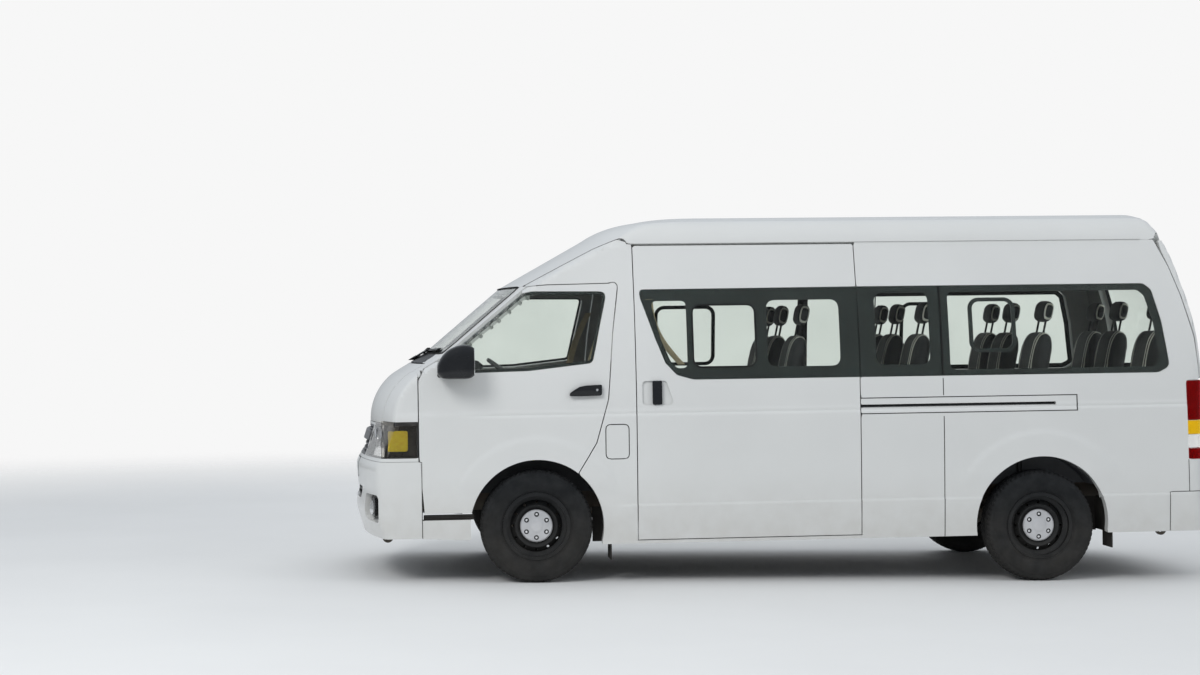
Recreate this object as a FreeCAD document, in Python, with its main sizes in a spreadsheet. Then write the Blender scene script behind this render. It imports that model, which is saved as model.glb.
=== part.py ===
import FreeCAD, Part
import math
import os
import Sketcher
from functools import lru_cache
from FreeCAD import Placement, Rotation, Vector

# High-roof minibus, millimetres, X forward, Y to the left, Z up.
# The body is drawn level in a frame whose origin is on the floor below the front axle,
# and is then tilted by its nose-down rake about a line through that axle.

DOC = FreeCAD.newDocument("minibus")

# Driving dimensions: name, value, meaning
SIZES = (
    ("wheelbase", 3110, "front axle to rear axle"),
    ("front_overhang", 1100, "front axle to the foremost point"),
    ("rear_overhang", 1170, "rear axle to the rearmost point"),
    ("track", 1650, "between the wheel centre planes of one axle"),
    ("rake_angle", 1.2, "nose-down tilt of the body, degrees"),
    ("rake_height", 500, "height of the line the body tilts about"),
    ("half_width", 940, "half the body width at the belt line"),
    ("sill_half_width", 912, "half the body width at the sill"),
    ("seam_half_width", 772, "half the body width at the roof seam"),
    ("shoulder_half_width", 600, "half width where the roof crown starts"),
    ("sill_height", 225, "lower edge of the body sides"),
    ("low_crease_height", 455, "lower crease of the body sides"),
    ("belt_height", 1025, "belt crease"),
    ("high_crease_height", 1868, "crease above the side windows"),
    ("seam_height", 2038, "roof seam"),
    ("roof_height", 2235, "top of the roof crown"),
    ("belt_step", 8, "inward step above the belt crease"),
    ("wall", 58, "thickness of doors and side walls"),
    ("panel_gap", 6, "shut gap round doors, lids and flaps"),
    ("glass_thickness", 6, "window glass"),
    ("glass_recess", 3, "window glass below the body surface"),
    ("nose_curve", 3000, "plan radius of the nose and windscreen"),
    ("tail_curve", 3500, "plan radius of the tail"),
    ("tow_bore_radius", 16, "bore of the towing lugs"),
    ("floor_height", 560, "top of the cabin floor"),
    ("floor_thickness", 40, "cabin floor"),
    ("front_arch_radius", 402, "front wheel arch"),
    ("rear_arch_radius", 415, "rear wheel arch"),
    ("front_arch_height", 338, "centre of the front wheel arch"),
    ("rear_arch_height", 290, "centre of the rear wheel arch"),
    ("front_housing_depth", 420, "front wheel housing inwards from the half width"),
    ("rear_housing_depth", 270, "rear wheel housing inwards from the half width"),
    ("housing_wall", 20, "wheel housing sheet"),
    ("tyre_radius", 340, "tyre"),
    ("tyre_width", 196, "tyre"),
    ("rim_radius", 190, "bead seat of the wheel"),
    ("rim_width", 150, "between the rim flanges"),
    ("disc_offset", 34, "wheel disc outwards from the wheel's centre plane"),
    ("disc_thickness", 7, "wheel disc"),
    ("ring_radius", 128, "raised ring of the wheel disc"),
    ("hub_radius", 98, "hub cap"),
    ("nut_hole_radius", 13, "openings over the wheel nuts"),
    ("slot_radius", 8, "slots of the wheel disc"),
    ("stud_circle", 139.7, "wheel stud circle diameter"),
    ("stud_count", 6, "wheel studs"),
    ("slot_count", 12, "wheel disc slots"),
    ("spindle_radius", 24, "wheel spindle"),
    ("fit_clearance", 0.4, "between a spindle and what turns on it"),
    ("kingpin_inset", 60, "steering axis inwards from the wheel's centre plane"),
    ("rail_half_spacing", 430, "chassis rails from the middle"),
    ("rail_width", 70, "chassis rail"),
    ("rail_height", 110, "chassis rail"),
    ("slide_door_front", 605, "front edge of the sliding door behind the front axle"),
    ("slide_door_width", 1380, "sliding door"),
    ("bonnet_half_width", 700, "bonnet"),
    ("lamp_inner", 455, "inner edge of a headlamp from the middle"),
    ("tail_lamp_inner", 700, "inner edge of a tail lamp from the middle"),
    ("steering_radius", 190, "steering wheel rim"),
    ("column_tilt", 37, "steering wheel plane from level, degrees"),
    ("seat_width", 450, "one seat"),
    ("seat_height", 400, "cushion top above the floor"),
    ("flare_height", 8, "wheel arch flare outwards of the side"),
    ("front_flare_width", 143, "flare round the front wheel arch"),
    ("rear_flare_width", 185, "flare round the rear wheel arch"),
    ("door_frame_width", 42, "front door frame along the windscreen pillar"),
    ("lens_thickness", 4.7, "headlamp lens"),
    ("grille_bar_pitch", 31, "between the thin bars of the grille"),
    ("grille_rib_pitch", 96, "between the upright ribs of the grille"),
    ("mud_flap_thickness", 8, "mud flap"),
    ("mud_flap_inner", 742, "inner edge of a mud flap from the middle"),
    ("mud_flap_width", 163, "mud flap"),
    ("mud_flap_drop", 95, "mud flap below the sill"),
)

SHEET = DOC.addObject("Spreadsheet::Sheet", "Sizes")
for row, (alias, value, meaning) in enumerate(SIZES, start=1):
    SHEET.set(f"A{row}", meaning)
    SHEET.set(f"B{row}", str(value))
    SHEET.setAlias(f"B{row}", alias)
DOC.recompute()


def size(alias):
    """Value of a driving dimension."""
    return float(SHEET.get(alias))


WHEELBASE = size("wheelbase")
HALF = size("half_width")
WALL = size("wall")
GAP = size("panel_gap")
NOSE = size("front_overhang")
TAIL = WHEELBASE + size("rear_overhang")
BELT = size("belt_height")
SEAM = size("seam_height")
SILL = size("sill_height")
LOW_CREASE = size("low_crease_height")
FLOOR = size("floor_height")
TYRE_R = size("tyre_radius")
TRACK = size("track")

# Ground frame: origin under the middle of the length, on the floor
FRONT_AXLE_X = (TAIL - NOSE) / 2
RAKE = Rotation(Vector(0, 1, 0), size("rake_angle"))
PIVOT = Vector(0, 0, size("rake_height"))
AXLE_FRAME = Placement(Vector(FRONT_AXLE_X, 0, 0), Rotation())
BODY_FRAME = Placement(Vector(FRONT_AXLE_X, 0, 0) + PIVOT - RAKE.multVec(PIVOT), RAKE)
WHEEL_X = 75
WHEEL_Y = -430
WHEEL_Z = BELT + 190

NODES = {}


def rear(x):
    """Station measured from the rear axle."""
    return x - WHEELBASE


def at(plane, a, b, level):
    """Point of a flat outline: XZ is a side view, YZ a front view, XY a plan."""
    if plane == "XZ":
        return Vector(a, level, b)
    if plane == "YZ":
        return Vector(level, a, b)
    return Vector(a, b, level)


def outline(points, plane, level):
    """Closed wire; a point of four numbers ends an arc that passes its last two."""
    edges = []
    last = at(plane, points[-1][0], points[-1][1], level)
    for point in points:
        here = at(plane, point[0], point[1], level)
        if len(point) == 4:
            via = at(plane, point[2], point[3], level)
            edges.append(Part.Arc(last, via, here).toShape())
        elif last.distanceToPoint(here) > 1e-6:
            edges.append(Part.makeLine(last, here))
        last = here
    return Part.Wire(edges)


def rounded(points, radius):
    """Corner points turned into an outline with arcs at the corners."""
    result = []
    count = len(points)
    for i, corner in enumerate(points):
        c = Vector(corner[0], corner[1], 0)
        before = Vector(*points[i - 1][:2], 0) - c
        after = Vector(*points[(i + 1) % count][:2], 0) - c
        turn = before.getAngle(after)
        reach = min(radius / math.tan(turn / 2), before.Length * 0.45, after.Length * 0.45)
        fillet = reach * math.tan(turn / 2)
        start = c + before.normalize() * reach
        end = c + after.normalize() * reach
        bisector = (before + after).normalize()
        middle = c + bisector * (fillet / math.sin(turn / 2) - fillet)
        result.append((start.x, start.y))
        result.append((end.x, end.y, middle.x, middle.y))
    return result


def prism(points, plane, low, high):
    """Solid between two levels across the plane of its outline."""
    face = Part.Face(outline(points, plane, low))
    return face.extrude(at(plane, 0, 0, high - low))


def slab(points, low, high, shrink=0.0):
    """Side-view outline as a solid across the van, shrunk all round for a shut gap."""
    face = Part.Face(outline(points, "XZ", 0))
    if shrink:
        face = face.makeOffset2D(-shrink, 2)
    face.translate(Vector(0, low, 0))
    return face.extrude(Vector(0, high - low, 0))


def front_slab(points, low, high, shrink=0.0):
    """Front-view outline as a solid along the van."""
    face = Part.Face(outline(points, "YZ", 0))
    if shrink:
        face = face.makeOffset2D(-shrink, 2)
    face.translate(Vector(low, 0, 0))
    return face.extrude(Vector(high - low, 0, 0))


def box(x0, x1, y0, y1, z0, z1):
    return Part.makeBox(x1 - x0, y1 - y0, z1 - z0, Vector(x0, y0, z0))


def rod(start, end, radius):
    """Round bar between two points."""
    along = Vector(*end) - Vector(*start)
    return Part.makeCylinder(radius, along.Length, Vector(*start), along)


def fuse(shapes):
    shapes = list(shapes)
    return shapes[0].multiFuse(shapes[1:]).removeSplitter()


def mirrored(shape):
    """The same shape on the other side of the van."""
    return shape.mirror(Vector(0, 0, 0), Vector(0, 1, 0))


def largest(shape):
    """The biggest solid of a cut, so that slivers are dropped."""
    return max(shape.Solids, key=lambda solid: solid.Volume)


def solids(shape, least=1000.0):
    """Solids above a least volume, as one compound when there are several."""
    kept = [solid for solid in shape.Solids if solid.Volume > least]
    return kept[0] if len(kept) == 1 else Part.makeCompound(kept)


def node(label, shape, frame):
    """Sub-part whose shape comes from the sheet's sizes."""
    feature = DOC.addObject("Part::Feature", label)
    feature.Label = label
    feature.Shape = shape
    feature.Placement = frame
    NODES[label] = feature
    return feature


def section(inset):
    """Front-view section of the body, from the left sill over the roof to the right."""
    step = size("belt_step")
    high = size("high_crease_height")
    roof = size("roof_height") - inset
    shoulder = size("shoulder_half_width") - inset
    low = SILL - 1 if inset == 0 else SILL - WALL
    seam_half = size("seam_half_width") - inset
    high_half = size("seam_half_width") + 42 - inset
    half = HALF - inset
    sill_half = size("sill_half_width") - inset
    left = [
        (sill_half, low + 1),
        (half - 12, LOW_CREASE),
        (half, BELT - 12, half - 1, BELT - 250),
        (half - step, BELT + 12),
        (high_half, high, (half + high_half) / 2 + 22, (BELT + high) / 2),
        (seam_half, SEAM),
        (shoulder, roof - 50, seam_half - 44, roof - 108),
    ]
    right = [(-shoulder, roof - 50, 0, roof)]
    for i in range(len(left) - 2, -1, -1):
        nxt = left[i + 1]
        if len(nxt) == 4:
            right.append((-left[i][0], left[i][1], -nxt[2], nxt[3]))
        else:
            right.append((-left[i][0], left[i][1]))
    return left + right


def nose_profile(inset):
    """Side view of the nose, windscreen and roof cap on the middle line."""
    top = size("roof_height")
    points = [
        (NOSE - 50, SILL + 40),
        (NOSE, SILL + 210),
        (NOSE - 14, SILL + 340),
        (NOSE - 7, SILL + 482),
        (NOSE - 30, SILL + 530),
        (NOSE - 96, BELT - 65),
        (NOSE - 244, BELT + 238, NOSE - 140, BELT + 120),
        (NOSE - 420, BELT + 343),
        (183, SEAM - 253),
        (-361, SEAM + 50),
        (-642, SEAM + 153, -495, SEAM + 119),
        (-1000, top + 5, -820, SEAM + 183),
    ]
    return [tuple(v - inset if i % 2 == 0 else v - inset * 0.3 for i, v in enumerate(p)) for p in points]


def tail_profile(inset):
    """Side view of the tail on the middle line."""
    points = [
        (-TAIL + 22, SILL + 40),
        (-TAIL, SILL + 80),
        (-TAIL, SILL + 245),
        (-TAIL + 20, SILL + 262),
        (-TAIL + 18, BELT + 125),
        (rear(-1035), SEAM - 258, rear(-1115), BELT + 480),
        (rear(-870), SEAM + 102, rear(-980), SEAM - 98),
        (rear(-780), size("roof_height") + 5),
    ]
    return [tuple(v + inset if i % 2 == 0 else v for i, v in enumerate(p)) for p in points]


CORE = 800
SWEEP = 120


def turned(points, axis_x, edge_top, edge_low):
    """Part of a solid of revolution about an upright line, from a side-view profile."""
    first = points[0]
    last = points[-1]
    closed = [(axis_x, edge_low), (first[0], edge_low), first] + points[1:]
    closed += [(last[0], edge_top), (axis_x, edge_top)]
    face = Part.Face(outline(closed, "XZ", 0))
    face.rotate(Vector(axis_x, 0, 0), Vector(0, 0, 1), -SWEEP / 2)
    return face.revolve(Vector(axis_x, 0, 0), Vector(0, 0, 1), SWEEP)


def plan(inset):
    """Plan of the body with its rounded corners."""
    wide = HALF + 4 - inset
    quarter = [
        (NOSE - 330 - inset, wide),
        (NOSE - 78 - inset, wide - 225, NOSE - 150 - inset, wide - 62),
        (NOSE + 40 - inset, 0),
    ]
    back = [
        (-TAIL - 40 + inset, 0),
        (-TAIL + 70 + inset, wide - 190),
        (-TAIL + 245 + inset, wide, -TAIL + 128 + inset, wide - 55),
    ]
    front_right = [(x[0], -x[1]) for x in quarter[:2]]
    half_front = [
        quarter[0],
        quarter[1],
        quarter[2],
        (front_right[1][0], front_right[1][1]),
        (front_right[0][0], front_right[0][1], quarter[1][2], -quarter[1][3]),
    ]
    half_back = [
        (back[2][0], -back[2][1]),
        (back[1][0], -back[1][1], back[2][2], -back[2][3]),
        back[0],
        back[1],
        back[2],
    ]
    return half_front + half_back


@lru_cache(maxsize=None)
def envelope(inset):
    """Body as one closed form, its surface moved inwards by the inset."""
    low = SILL - 200
    high = size("roof_height") + 60
    body = prism(section(inset), "YZ", -TAIL - 200, NOSE + 200)
    front_axis = NOSE - size("nose_curve")
    front = turned(nose_profile(inset), front_axis, high, low)
    front = front.fuse(box(-TAIL - 300, front_axis + CORE, -1200, 1200, low, high))
    tail_axis = size("tail_curve") - TAIL
    tail = turned(tail_profile(inset), tail_axis, high, low)
    tail = tail.fuse(box(tail_axis - CORE, NOSE + 300, -1200, 1200, low, high))
    corners = prism(plan(inset), "XY", low, high)
    return body.common(front).common(tail).common(corners)



SEAT_GAP = 0.3
LID_RELIEF = 26
RISER_TOP = FLOOR + 205
GEARBOX_FOOT = FLOOR - size("floor_thickness") - size("rail_height") + 41
TOW_FRONT = (NOSE - 200, SILL + 25)
TOW_REAR = (rear(-940), SILL - 40)
LOWER_BALL = TYRE_R - 115
UPPER_BALL = TYRE_R + 100
BALL_R = 18


def on_body(x, y, z):
    """Point of the level body where it stands once the body is tilted."""
    point = RAKE.multVec(Vector(x, y, z) - PIVOT) + PIVOT
    return point.x, point.y, point.z


def skin_station(y, z, ahead):
    """Station where the body surface is met at a point of the front view."""
    line = Part.makeLine(Vector(-TAIL - 100, y, z), Vector(NOSE + 100, y, z)).common(FULL)
    stations = [vertex.X for vertex in line.Vertexes]
    return max(stations) if ahead else min(stations)


FAR = 1300
ROOF_TOP = size("roof_height") + 100
END = -TAIL - 100


def arch(which, radius_more, y0, y1):
    """Round opening above a wheel, from one side of the van to another station."""
    station = 0 if which == "front" else rear(-4)
    height = size(which + "_arch_height")
    radius = size(which + "_arch_radius") + radius_more
    start = Vector(station, y0, height)
    return Part.makeCylinder(radius, y1 - y0, start, Vector(0, 1, 0))


FLARE_RINGS = fuse([arch(which, size(which + "_flare_width"), 300, FAR) for which in ("front", "rear")])
FLARES = envelope(-size("flare_height")).common(FLARE_RINGS)
FLARES = FLARES.common(box(END, NOSE, 0, FAR, LOW_CREASE, BELT))
FULL = fuse([envelope(0), FLARES, mirrored(FLARES)])
INNER = envelope(WALL)
SHELL = FULL.cut(INNER)
SKIN = envelope(size("glass_recess")).cut(envelope(size("glass_recess") + size("glass_thickness")))

# Outlines in the side view, points (station, height)
SCREEN_TOP = SEAM - 250
SCREEN_FOOT = BELT + 360
COWL_FOOT = BELT + 305
BUMPER_TOP = SILL + 520
BUMPER_FOOT = SILL + 58
REAR_BUMPER_TOP = SILL + 245
DOOR_FRONT = NOSE - 392

ROOF_ZONE = [
    (NOSE, SCREEN_TOP),
    (165, SCREEN_TOP),
    (-74, SEAM - 151),
    (-294, SEAM - 44),
    (-579, SEAM, -430, SEAM - 6),
    (END, SEAM),
    (END, ROOF_TOP),
    (NOSE, ROOF_TOP),
]
FRONT_DOOR = [
    (DOOR_FRONT - 28, SILL + 200),
    (DOOR_FRONT, BELT - 250),
    (DOOR_FRONT, BELT + 205),
    (DOOR_FRONT - 66, BELT + 330),
    (245, SEAM - 347),
    (172, SEAM - 287),
    (80, SEAM - 252),
    (-70, SEAM - 240),
    (-500, SEAM - 234),
    (-513, SEAM - 262),
    (-475, BELT + 475),
    (-441, BELT + 72),
    (-365, BELT - 190),
    (-250, BELT - 375),
    (0, BELT - 400),
    (0, SILL + 200),
]
FRONT_WINDOW = [
    (-444, SEAM - 286),
    (-347, BELT + 293),
    (39, BELT + 251),
    (560, BELT + 240),
    (600, BELT + 300),
    (240, SEAM - 378),
    (76, SEAM - 292),
    (6, SEAM - 281),
]
SLIDE_FRONT = -size("slide_door_front")
SLIDE_REAR = SLIDE_FRONT - size("slide_door_width")
SLIDE_DOOR = [
    (SLIDE_FRONT, SILL + 18),
    (SLIDE_FRONT, SEAM - 4),
    (SLIDE_REAR, SEAM - 4),
    (SLIDE_REAR, SILL + 18),
]
GLASS_TOP = BELT + 740
GLASS_FOOT = BELT + 184
SLIDE_GLASS = [
    (SLIDE_FRONT - 32, GLASS_TOP - 4),
    (SLIDE_FRONT - 40, GLASS_TOP - 60),
    (SLIDE_FRONT - 121, BELT + 444),
    (SLIDE_FRONT - 181, BELT + 288),
    (SLIDE_FRONT - 251, BELT + 213),
    (SLIDE_FRONT - 352, GLASS_FOOT),
    (SLIDE_REAR + 18, GLASS_FOOT),
    (SLIDE_REAR + 18, GLASS_TOP),
]
QUARTER_GLASS = [
    (SLIDE_REAR - 18, GLASS_TOP),
    (SLIDE_REAR - 18, GLASS_FOOT),
    (rear(-754), GLASS_FOOT),
    (rear(-827), BELT + 221),
    (rear(-788), BELT + 507),
    (rear(-739), GLASS_TOP - 39),
    (rear(-689), GLASS_TOP),
]
TAIL_SEAM = [
    (rear(-784), SEAM),
    (rear(-862), SEAM - 170),
    (rear(-923), SEAM - 355),
    (rear(-987), SEAM - 603),
    (rear(-1017), BELT + 138),
]
TAIL_LAMP = [
    (rear(-924), BELT + 134),
    (rear(-935), BELT - 357),
    (END, BELT - 357),
    (END, BELT + 134),
]
FUEL_FLAP = [
    (-415, BELT - 75),
    (-562, BELT - 75),
    (-562, BELT - 289),
    (-415, BELT - 289),
]


DOOR_HANDLE = [
    (-200, BELT + 98),
    (-204, BELT + 118),
    (-262, BELT + 151),
    (-300, BELT + 158),
    (-397, BELT + 162),
    (-397, BELT + 98),
]
DOOR_SCOOP = [
    (-188, BELT + 56),
    (-192, BELT + 122),
    (-404, BELT + 128),
    (-404, BELT + 56),
]
SLIDE_HANDLE = [
    (SLIDE_FRONT - 100, BELT + 40),
    (SLIDE_FRONT - 100, BELT + 178),
    (SLIDE_FRONT - 158, BELT + 178),
    (SLIDE_FRONT - 158, BELT + 40),
]
SLIDE_SCOOP = [
    (SLIDE_FRONT - 39, BELT + 34),
    (SLIDE_FRONT - 39, BELT + 181),
    (SLIDE_FRONT - 185, BELT + 181),
    (SLIDE_FRONT - 234, BELT + 34),
]
RAIL_COVER = [
    (SLIDE_REAR + 40, BELT - 40),
    (SLIDE_REAR + 40, BELT + 55),
    (rear(-225), BELT + 55),
    (rear(-225), BELT - 40),
]
SASH_LEFT = [
    (SLIDE_FRONT - 360, BELT + 264),
    (SLIDE_FRONT - 360, BELT + 633),
    (SLIDE_FRONT - 738, BELT + 633),
    (SLIDE_FRONT - 738, BELT + 264),
]
SASH_REAR = [
    (-2702, BELT + 347),
    (-2702, BELT + 637),
    (-2949, BELT + 637),
    (-2949, BELT + 347),
]
PANEL_SPLIT = -2500
# Outlines in the front view, points (half width, height)
FOG_RECESS = [(600, SILL + 160), (600, SILL + 318), (882, SILL + 318), (882, SILL + 152)]
INTAKE = [(-430, SILL + 275), (430, SILL + 275), (465, SILL + 348), (-465, SILL + 348)]
PLATE_RECESS = [(-300, BELT - 265), (300, BELT - 265), (300, BELT - 120), (-300, BELT - 120)]
LID_HANDLE = [(-340, BELT - 108), (340, BELT - 108), (340, BELT - 62), (-340, BELT - 62)]
STOP_LAMP = [(-170, SEAM - 112), (170, SEAM - 112), (170, SEAM - 82), (-170, SEAM - 82)]


def side_cut(points, radius, shrink=0.0):
    """Rounded side-view opening through the left wall."""
    return slab(rounded(points, radius), 300, FAR, shrink)


def round_box(x0, x1, y0, y1, z0, z1, radius):
    """Box with all its edges rounded."""
    block = box(x0, x1, y0, y1, z0, z1)
    return block.makeFillet(radius, block.Edges)


def between(outer, inner, zone):
    """Part of a zone that lies between two insets of the body surface."""
    return envelope(outer).common(zone).cut(envelope(inner))


def recess(zone, depth):
    """Hollow of a given depth in the body surface."""
    return between(-30, depth, zone)


def raised(zone, height, foot=1):
    """Pad that follows the body surface and stands out of it."""
    return between(-height, foot, zone)


def shut_line(points, radius, width=3, depth=6):
    """Groove round an outline in the left wall."""
    ring = side_cut(points, radius).cut(side_cut(points, radius, width))
    return recess(ring, depth)


LEFT_HALF = box(END, NOSE + 100, 0, FAR, 0, 2500)
ARCHES = fuse([arch("front", 0, 300, FAR), arch("rear", 0, 300, FAR)])
CAP_HALF = 690
ROOF_CUT = slab(ROOF_ZONE, -FAR, FAR).fuse(box(-600, NOSE, -CAP_HALF, CAP_HALF, SCREEN_TOP, ROOF_TOP))


def beside_pillar(outwards):
    """Space beside the windscreen pillar, from a distance outwards of its edge."""
    low = 800 + outwards
    high = 745 + outwards
    line = [(FAR, 0), (low, 0), (low, SCREEN_FOOT - 35), (high, SCREEN_TOP), (high, ROOF_TOP), (FAR, ROOF_TOP)]
    return front_slab(line, END, NOSE + 100)


DOOR_SIDE = beside_pillar(0)
WINDOW_CUT = side_cut(FRONT_WINDOW, 35).common(beside_pillar(size("door_frame_width")))
DOOR_CUT = slab(FRONT_DOOR, 300, FAR).common(DOOR_SIDE)
TAIL_CUT_HIGH = slab(TAIL_SEAM + [(END, BELT + 138), (END, SEAM)], -FAR, FAR)
TAILGATE_HALF = size("tail_lamp_inner") - 12
TAIL_CUT_LOW = box(END, rear(-800), -TAILGATE_HALF, TAILGATE_HALF, REAR_BUMPER_TOP, BELT + 138)
BUMPER_CUT = box(DOOR_FRONT - 20, NOSE + 100, -FAR, FAR, 0, BUMPER_TOP)
REAR_BUMPER_CUT = box(END, rear(-815), -FAR, FAR, 0, REAR_BUMPER_TOP)
NOSE_CUT = box(DOOR_FRONT, NOSE + 100, -FAR, FAR, BUMPER_TOP, SCREEN_FOOT)
BONNET_HALF = size("bonnet_half_width")
BONNET_FOOT = BELT - 60
BONNET_CUT = box(400, NOSE + 100, -BONNET_HALF, BONNET_HALF, BONNET_FOOT, COWL_FOOT)
COWL_HALF = BONNET_HALF + 40
COWL_CUT = box(300, NOSE, -COWL_HALF, COWL_HALF, COWL_FOOT, SCREEN_FOOT)
SCREEN = rounded([(-770, SCREEN_FOOT), (770, SCREEN_FOOT), (690, SCREEN_TOP), (-690, SCREEN_TOP)], 45)
SCREEN_CUT = front_slab(SCREEN, 60, NOSE)
TAIL_HINGE_X = skin_station(0, SEAM - 3, False)
BONNET_HINGE_X = skin_station(0, COWL_FOOT - 3, True)
TAIL_LAMP_CUT = slab(TAIL_LAMP, size("tail_lamp_inner"), FAR)
GRILLE_HALF = size("lamp_inner") - 15
GRILLE_FOOT = BUMPER_TOP + 20
GRILLE_TOP = BONNET_FOOT - 15
LAMP_MIDDLE = (GRILLE_FOOT + BELT - 42) / 2
GRILLE_CUT = box(NOSE - 300, NOSE + 100, -GRILLE_HALF, GRILLE_HALF, GRILLE_FOOT, GRILLE_TOP)
LAMP_CUT = box(DOOR_FRONT + 2, NOSE + 100, size("lamp_inner"), FAR, GRILLE_FOOT, BELT - 42)


def build_body():
    """Fixed outer panels of the body."""
    roof = largest(SHELL.common(ROOF_CUT))
    bead = raised(box(rear(-700), -560, 300, FAR, SEAM + 3, SEAM + 13), 8)
    node("roof_panel", fuse([roof, bead, mirrored(bead)]), BODY_FRAME)

    side = SHELL.common(LEFT_HALF)
    for cut in (ROOF_CUT, TAIL_CUT_HIGH, TAIL_CUT_LOW, BUMPER_CUT, REAR_BUMPER_CUT, NOSE_CUT,
                BONNET_CUT, COWL_CUT, SCREEN_CUT, TAIL_LAMP_CUT, ARCHES, DOOR_CUT):
        side = side.cut(cut)
    side = side.cut(side_cut(QUARTER_GLASS, 40))
    split = box(PANEL_SPLIT - 2, PANEL_SPLIT + 2, 300, FAR, SILL, GLASS_FOOT)
    step = box(DOOR_FRONT - 326, DOOR_FRONT - 24, 300, FAR, SILL + 166, SILL + 198)
    side = side.cut(recess(split, 6)).cut(recess(step, 12))
    left = side.cut(slab(SLIDE_DOOR, 300, FAR)).cut(side_cut(FUEL_FLAP, 12))
    channel = box(rear(-105), SLIDE_REAR + 40, 300, FAR, BELT - 3, BELT + 15)
    left = left.cut(recess(channel, 40)).cut(shut_line(RAIL_COVER, 8))
    right = mirrored(side.cut(side_cut(SLIDE_GLASS, 30)))
    node("body_side_left", solids(left), BODY_FRAME)
    node("body_side_right", solids(right), BODY_FRAME)

    split = box(PANEL_SPLIT - 2, PANEL_SPLIT + 2, 300, FAR, GLASS_FOOT - 20, GLASS_TOP + 20)
    pane = SKIN.common(side_cut(QUARTER_GLASS, 40)).cut(split)
    behind = size("glass_recess") + size("glass_thickness") + SEAT_GAP
    rings = []
    for sash in (SASH_LEFT, SASH_REAR):
        ring = side_cut(sash, 45, -24).cut(side_cut(sash, 45))
        rings.append(between(behind, behind + 14, ring))
    rings += [mirrored(ring) for ring in rings]
    node("window_frames", Part.makeCompound(rings), BODY_FRAME)
    node("quarter_glass_left", solids(pane), BODY_FRAME)
    front_pane = SKIN.common(side_cut(SLIDE_GLASS, 30))
    node("side_glass_right", mirrored(Part.makeCompound([solids(pane), solids(front_pane)])), BODY_FRAME)
    node("windscreen", solids(SKIN.common(SCREEN_CUT)), BODY_FRAME)

    nose = SHELL.common(NOSE_CUT).cut(BONNET_CUT).cut(COWL_CUT).cut(GRILLE_CUT)
    nose = nose.cut(LAMP_CUT).cut(mirrored(LAMP_CUT))
    node("front_panel", solids(nose), BODY_FRAME)
    cowl = SHELL.common(COWL_CUT).cut(SCREEN_CUT)
    node("cowl", solids(cowl), BODY_FRAME)
    bumper = SHELL.common(BUMPER_CUT).cut(box(0, NOSE + 100, -FAR, FAR, 0, BUMPER_FOOT))
    bumper = bumper.cut(DOOR_CUT).cut(mirrored(DOOR_CUT))
    fog_zone = front_slab(rounded(FOG_RECESS, 28), 700, NOSE + 100)
    fog_recess = recess(fog_zone, 40)
    mouth = front_slab(rounded(INTAKE, 18), NOSE - 200, NOSE + 100)
    bumper = bumper.cut(fog_recess).cut(mirrored(fog_recess)).cut(recess(mouth, 40))
    slats = [between(8, 44, box(NOSE - 200, NOSE + 100, -462, 462, SILL + z, SILL + z + 9)) for z in (293, 321)]
    lamps = [rod((NOSE - 170, s * 742, SILL + 236), (NOSE - 102, s * 742, SILL + 236), 46) for s in (-1, 1)]
    node("front_bumper", largest(largest(bumper).multiFuse(slats + lamps)), BODY_FRAME)
    node("rear_bumper", largest(SHELL.common(REAR_BUMPER_CUT)), BODY_FRAME)


def build_lamps():
    """Grille and lamp units, each let into its panel."""
    thick = size("lens_thickness")
    front = between(0, thick, LAMP_CUT).cut(BONNET_CUT)
    node("headlamp_lenses", Part.makeCompound([solids(front), mirrored(solids(front))]), BODY_FRAME)
    housing = between(thick + SEAT_GAP, WALL, LAMP_CUT).cut(BONNET_CUT)
    edge = 6
    room = box(DOOR_FRONT + 2 + edge, NOSE + 100, size("lamp_inner") + edge, FAR,
               GRILLE_FOOT + edge, BONNET_FOOT - edge)
    housing = solids(housing.cut(between(0, 40, room)))
    barrels = []
    for y, radius in ((545, 62), (700, 54)):
        face = skin_station(y, LAMP_MIDDLE, True)
        ring = rod((face - 60, y, LAMP_MIDDLE), (face - 34, y, LAMP_MIDDLE), radius)
        barrels.append(ring.cut(Part.makeSphere(radius * 0.92, Vector(face - 14, y, LAMP_MIDDLE))))
    housing = largest(fuse([housing] + barrels))
    node("headlamps", Part.makeCompound([housing, mirrored(housing)]), BODY_FRAME)
    tail = SHELL.common(TAIL_LAMP_CUT)
    for height in (BELT - 40, BELT - 124, BELT - 208):
        tail = tail.cut(recess(box(END, rear(-700), 500, FAR, height - 2, height + 2), 6))
    tail = solids(tail)
    node("tail_lamps", Part.makeCompound([tail, mirrored(tail)]), BODY_FRAME)
    node("grille", grille(), BODY_FRAME)


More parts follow.
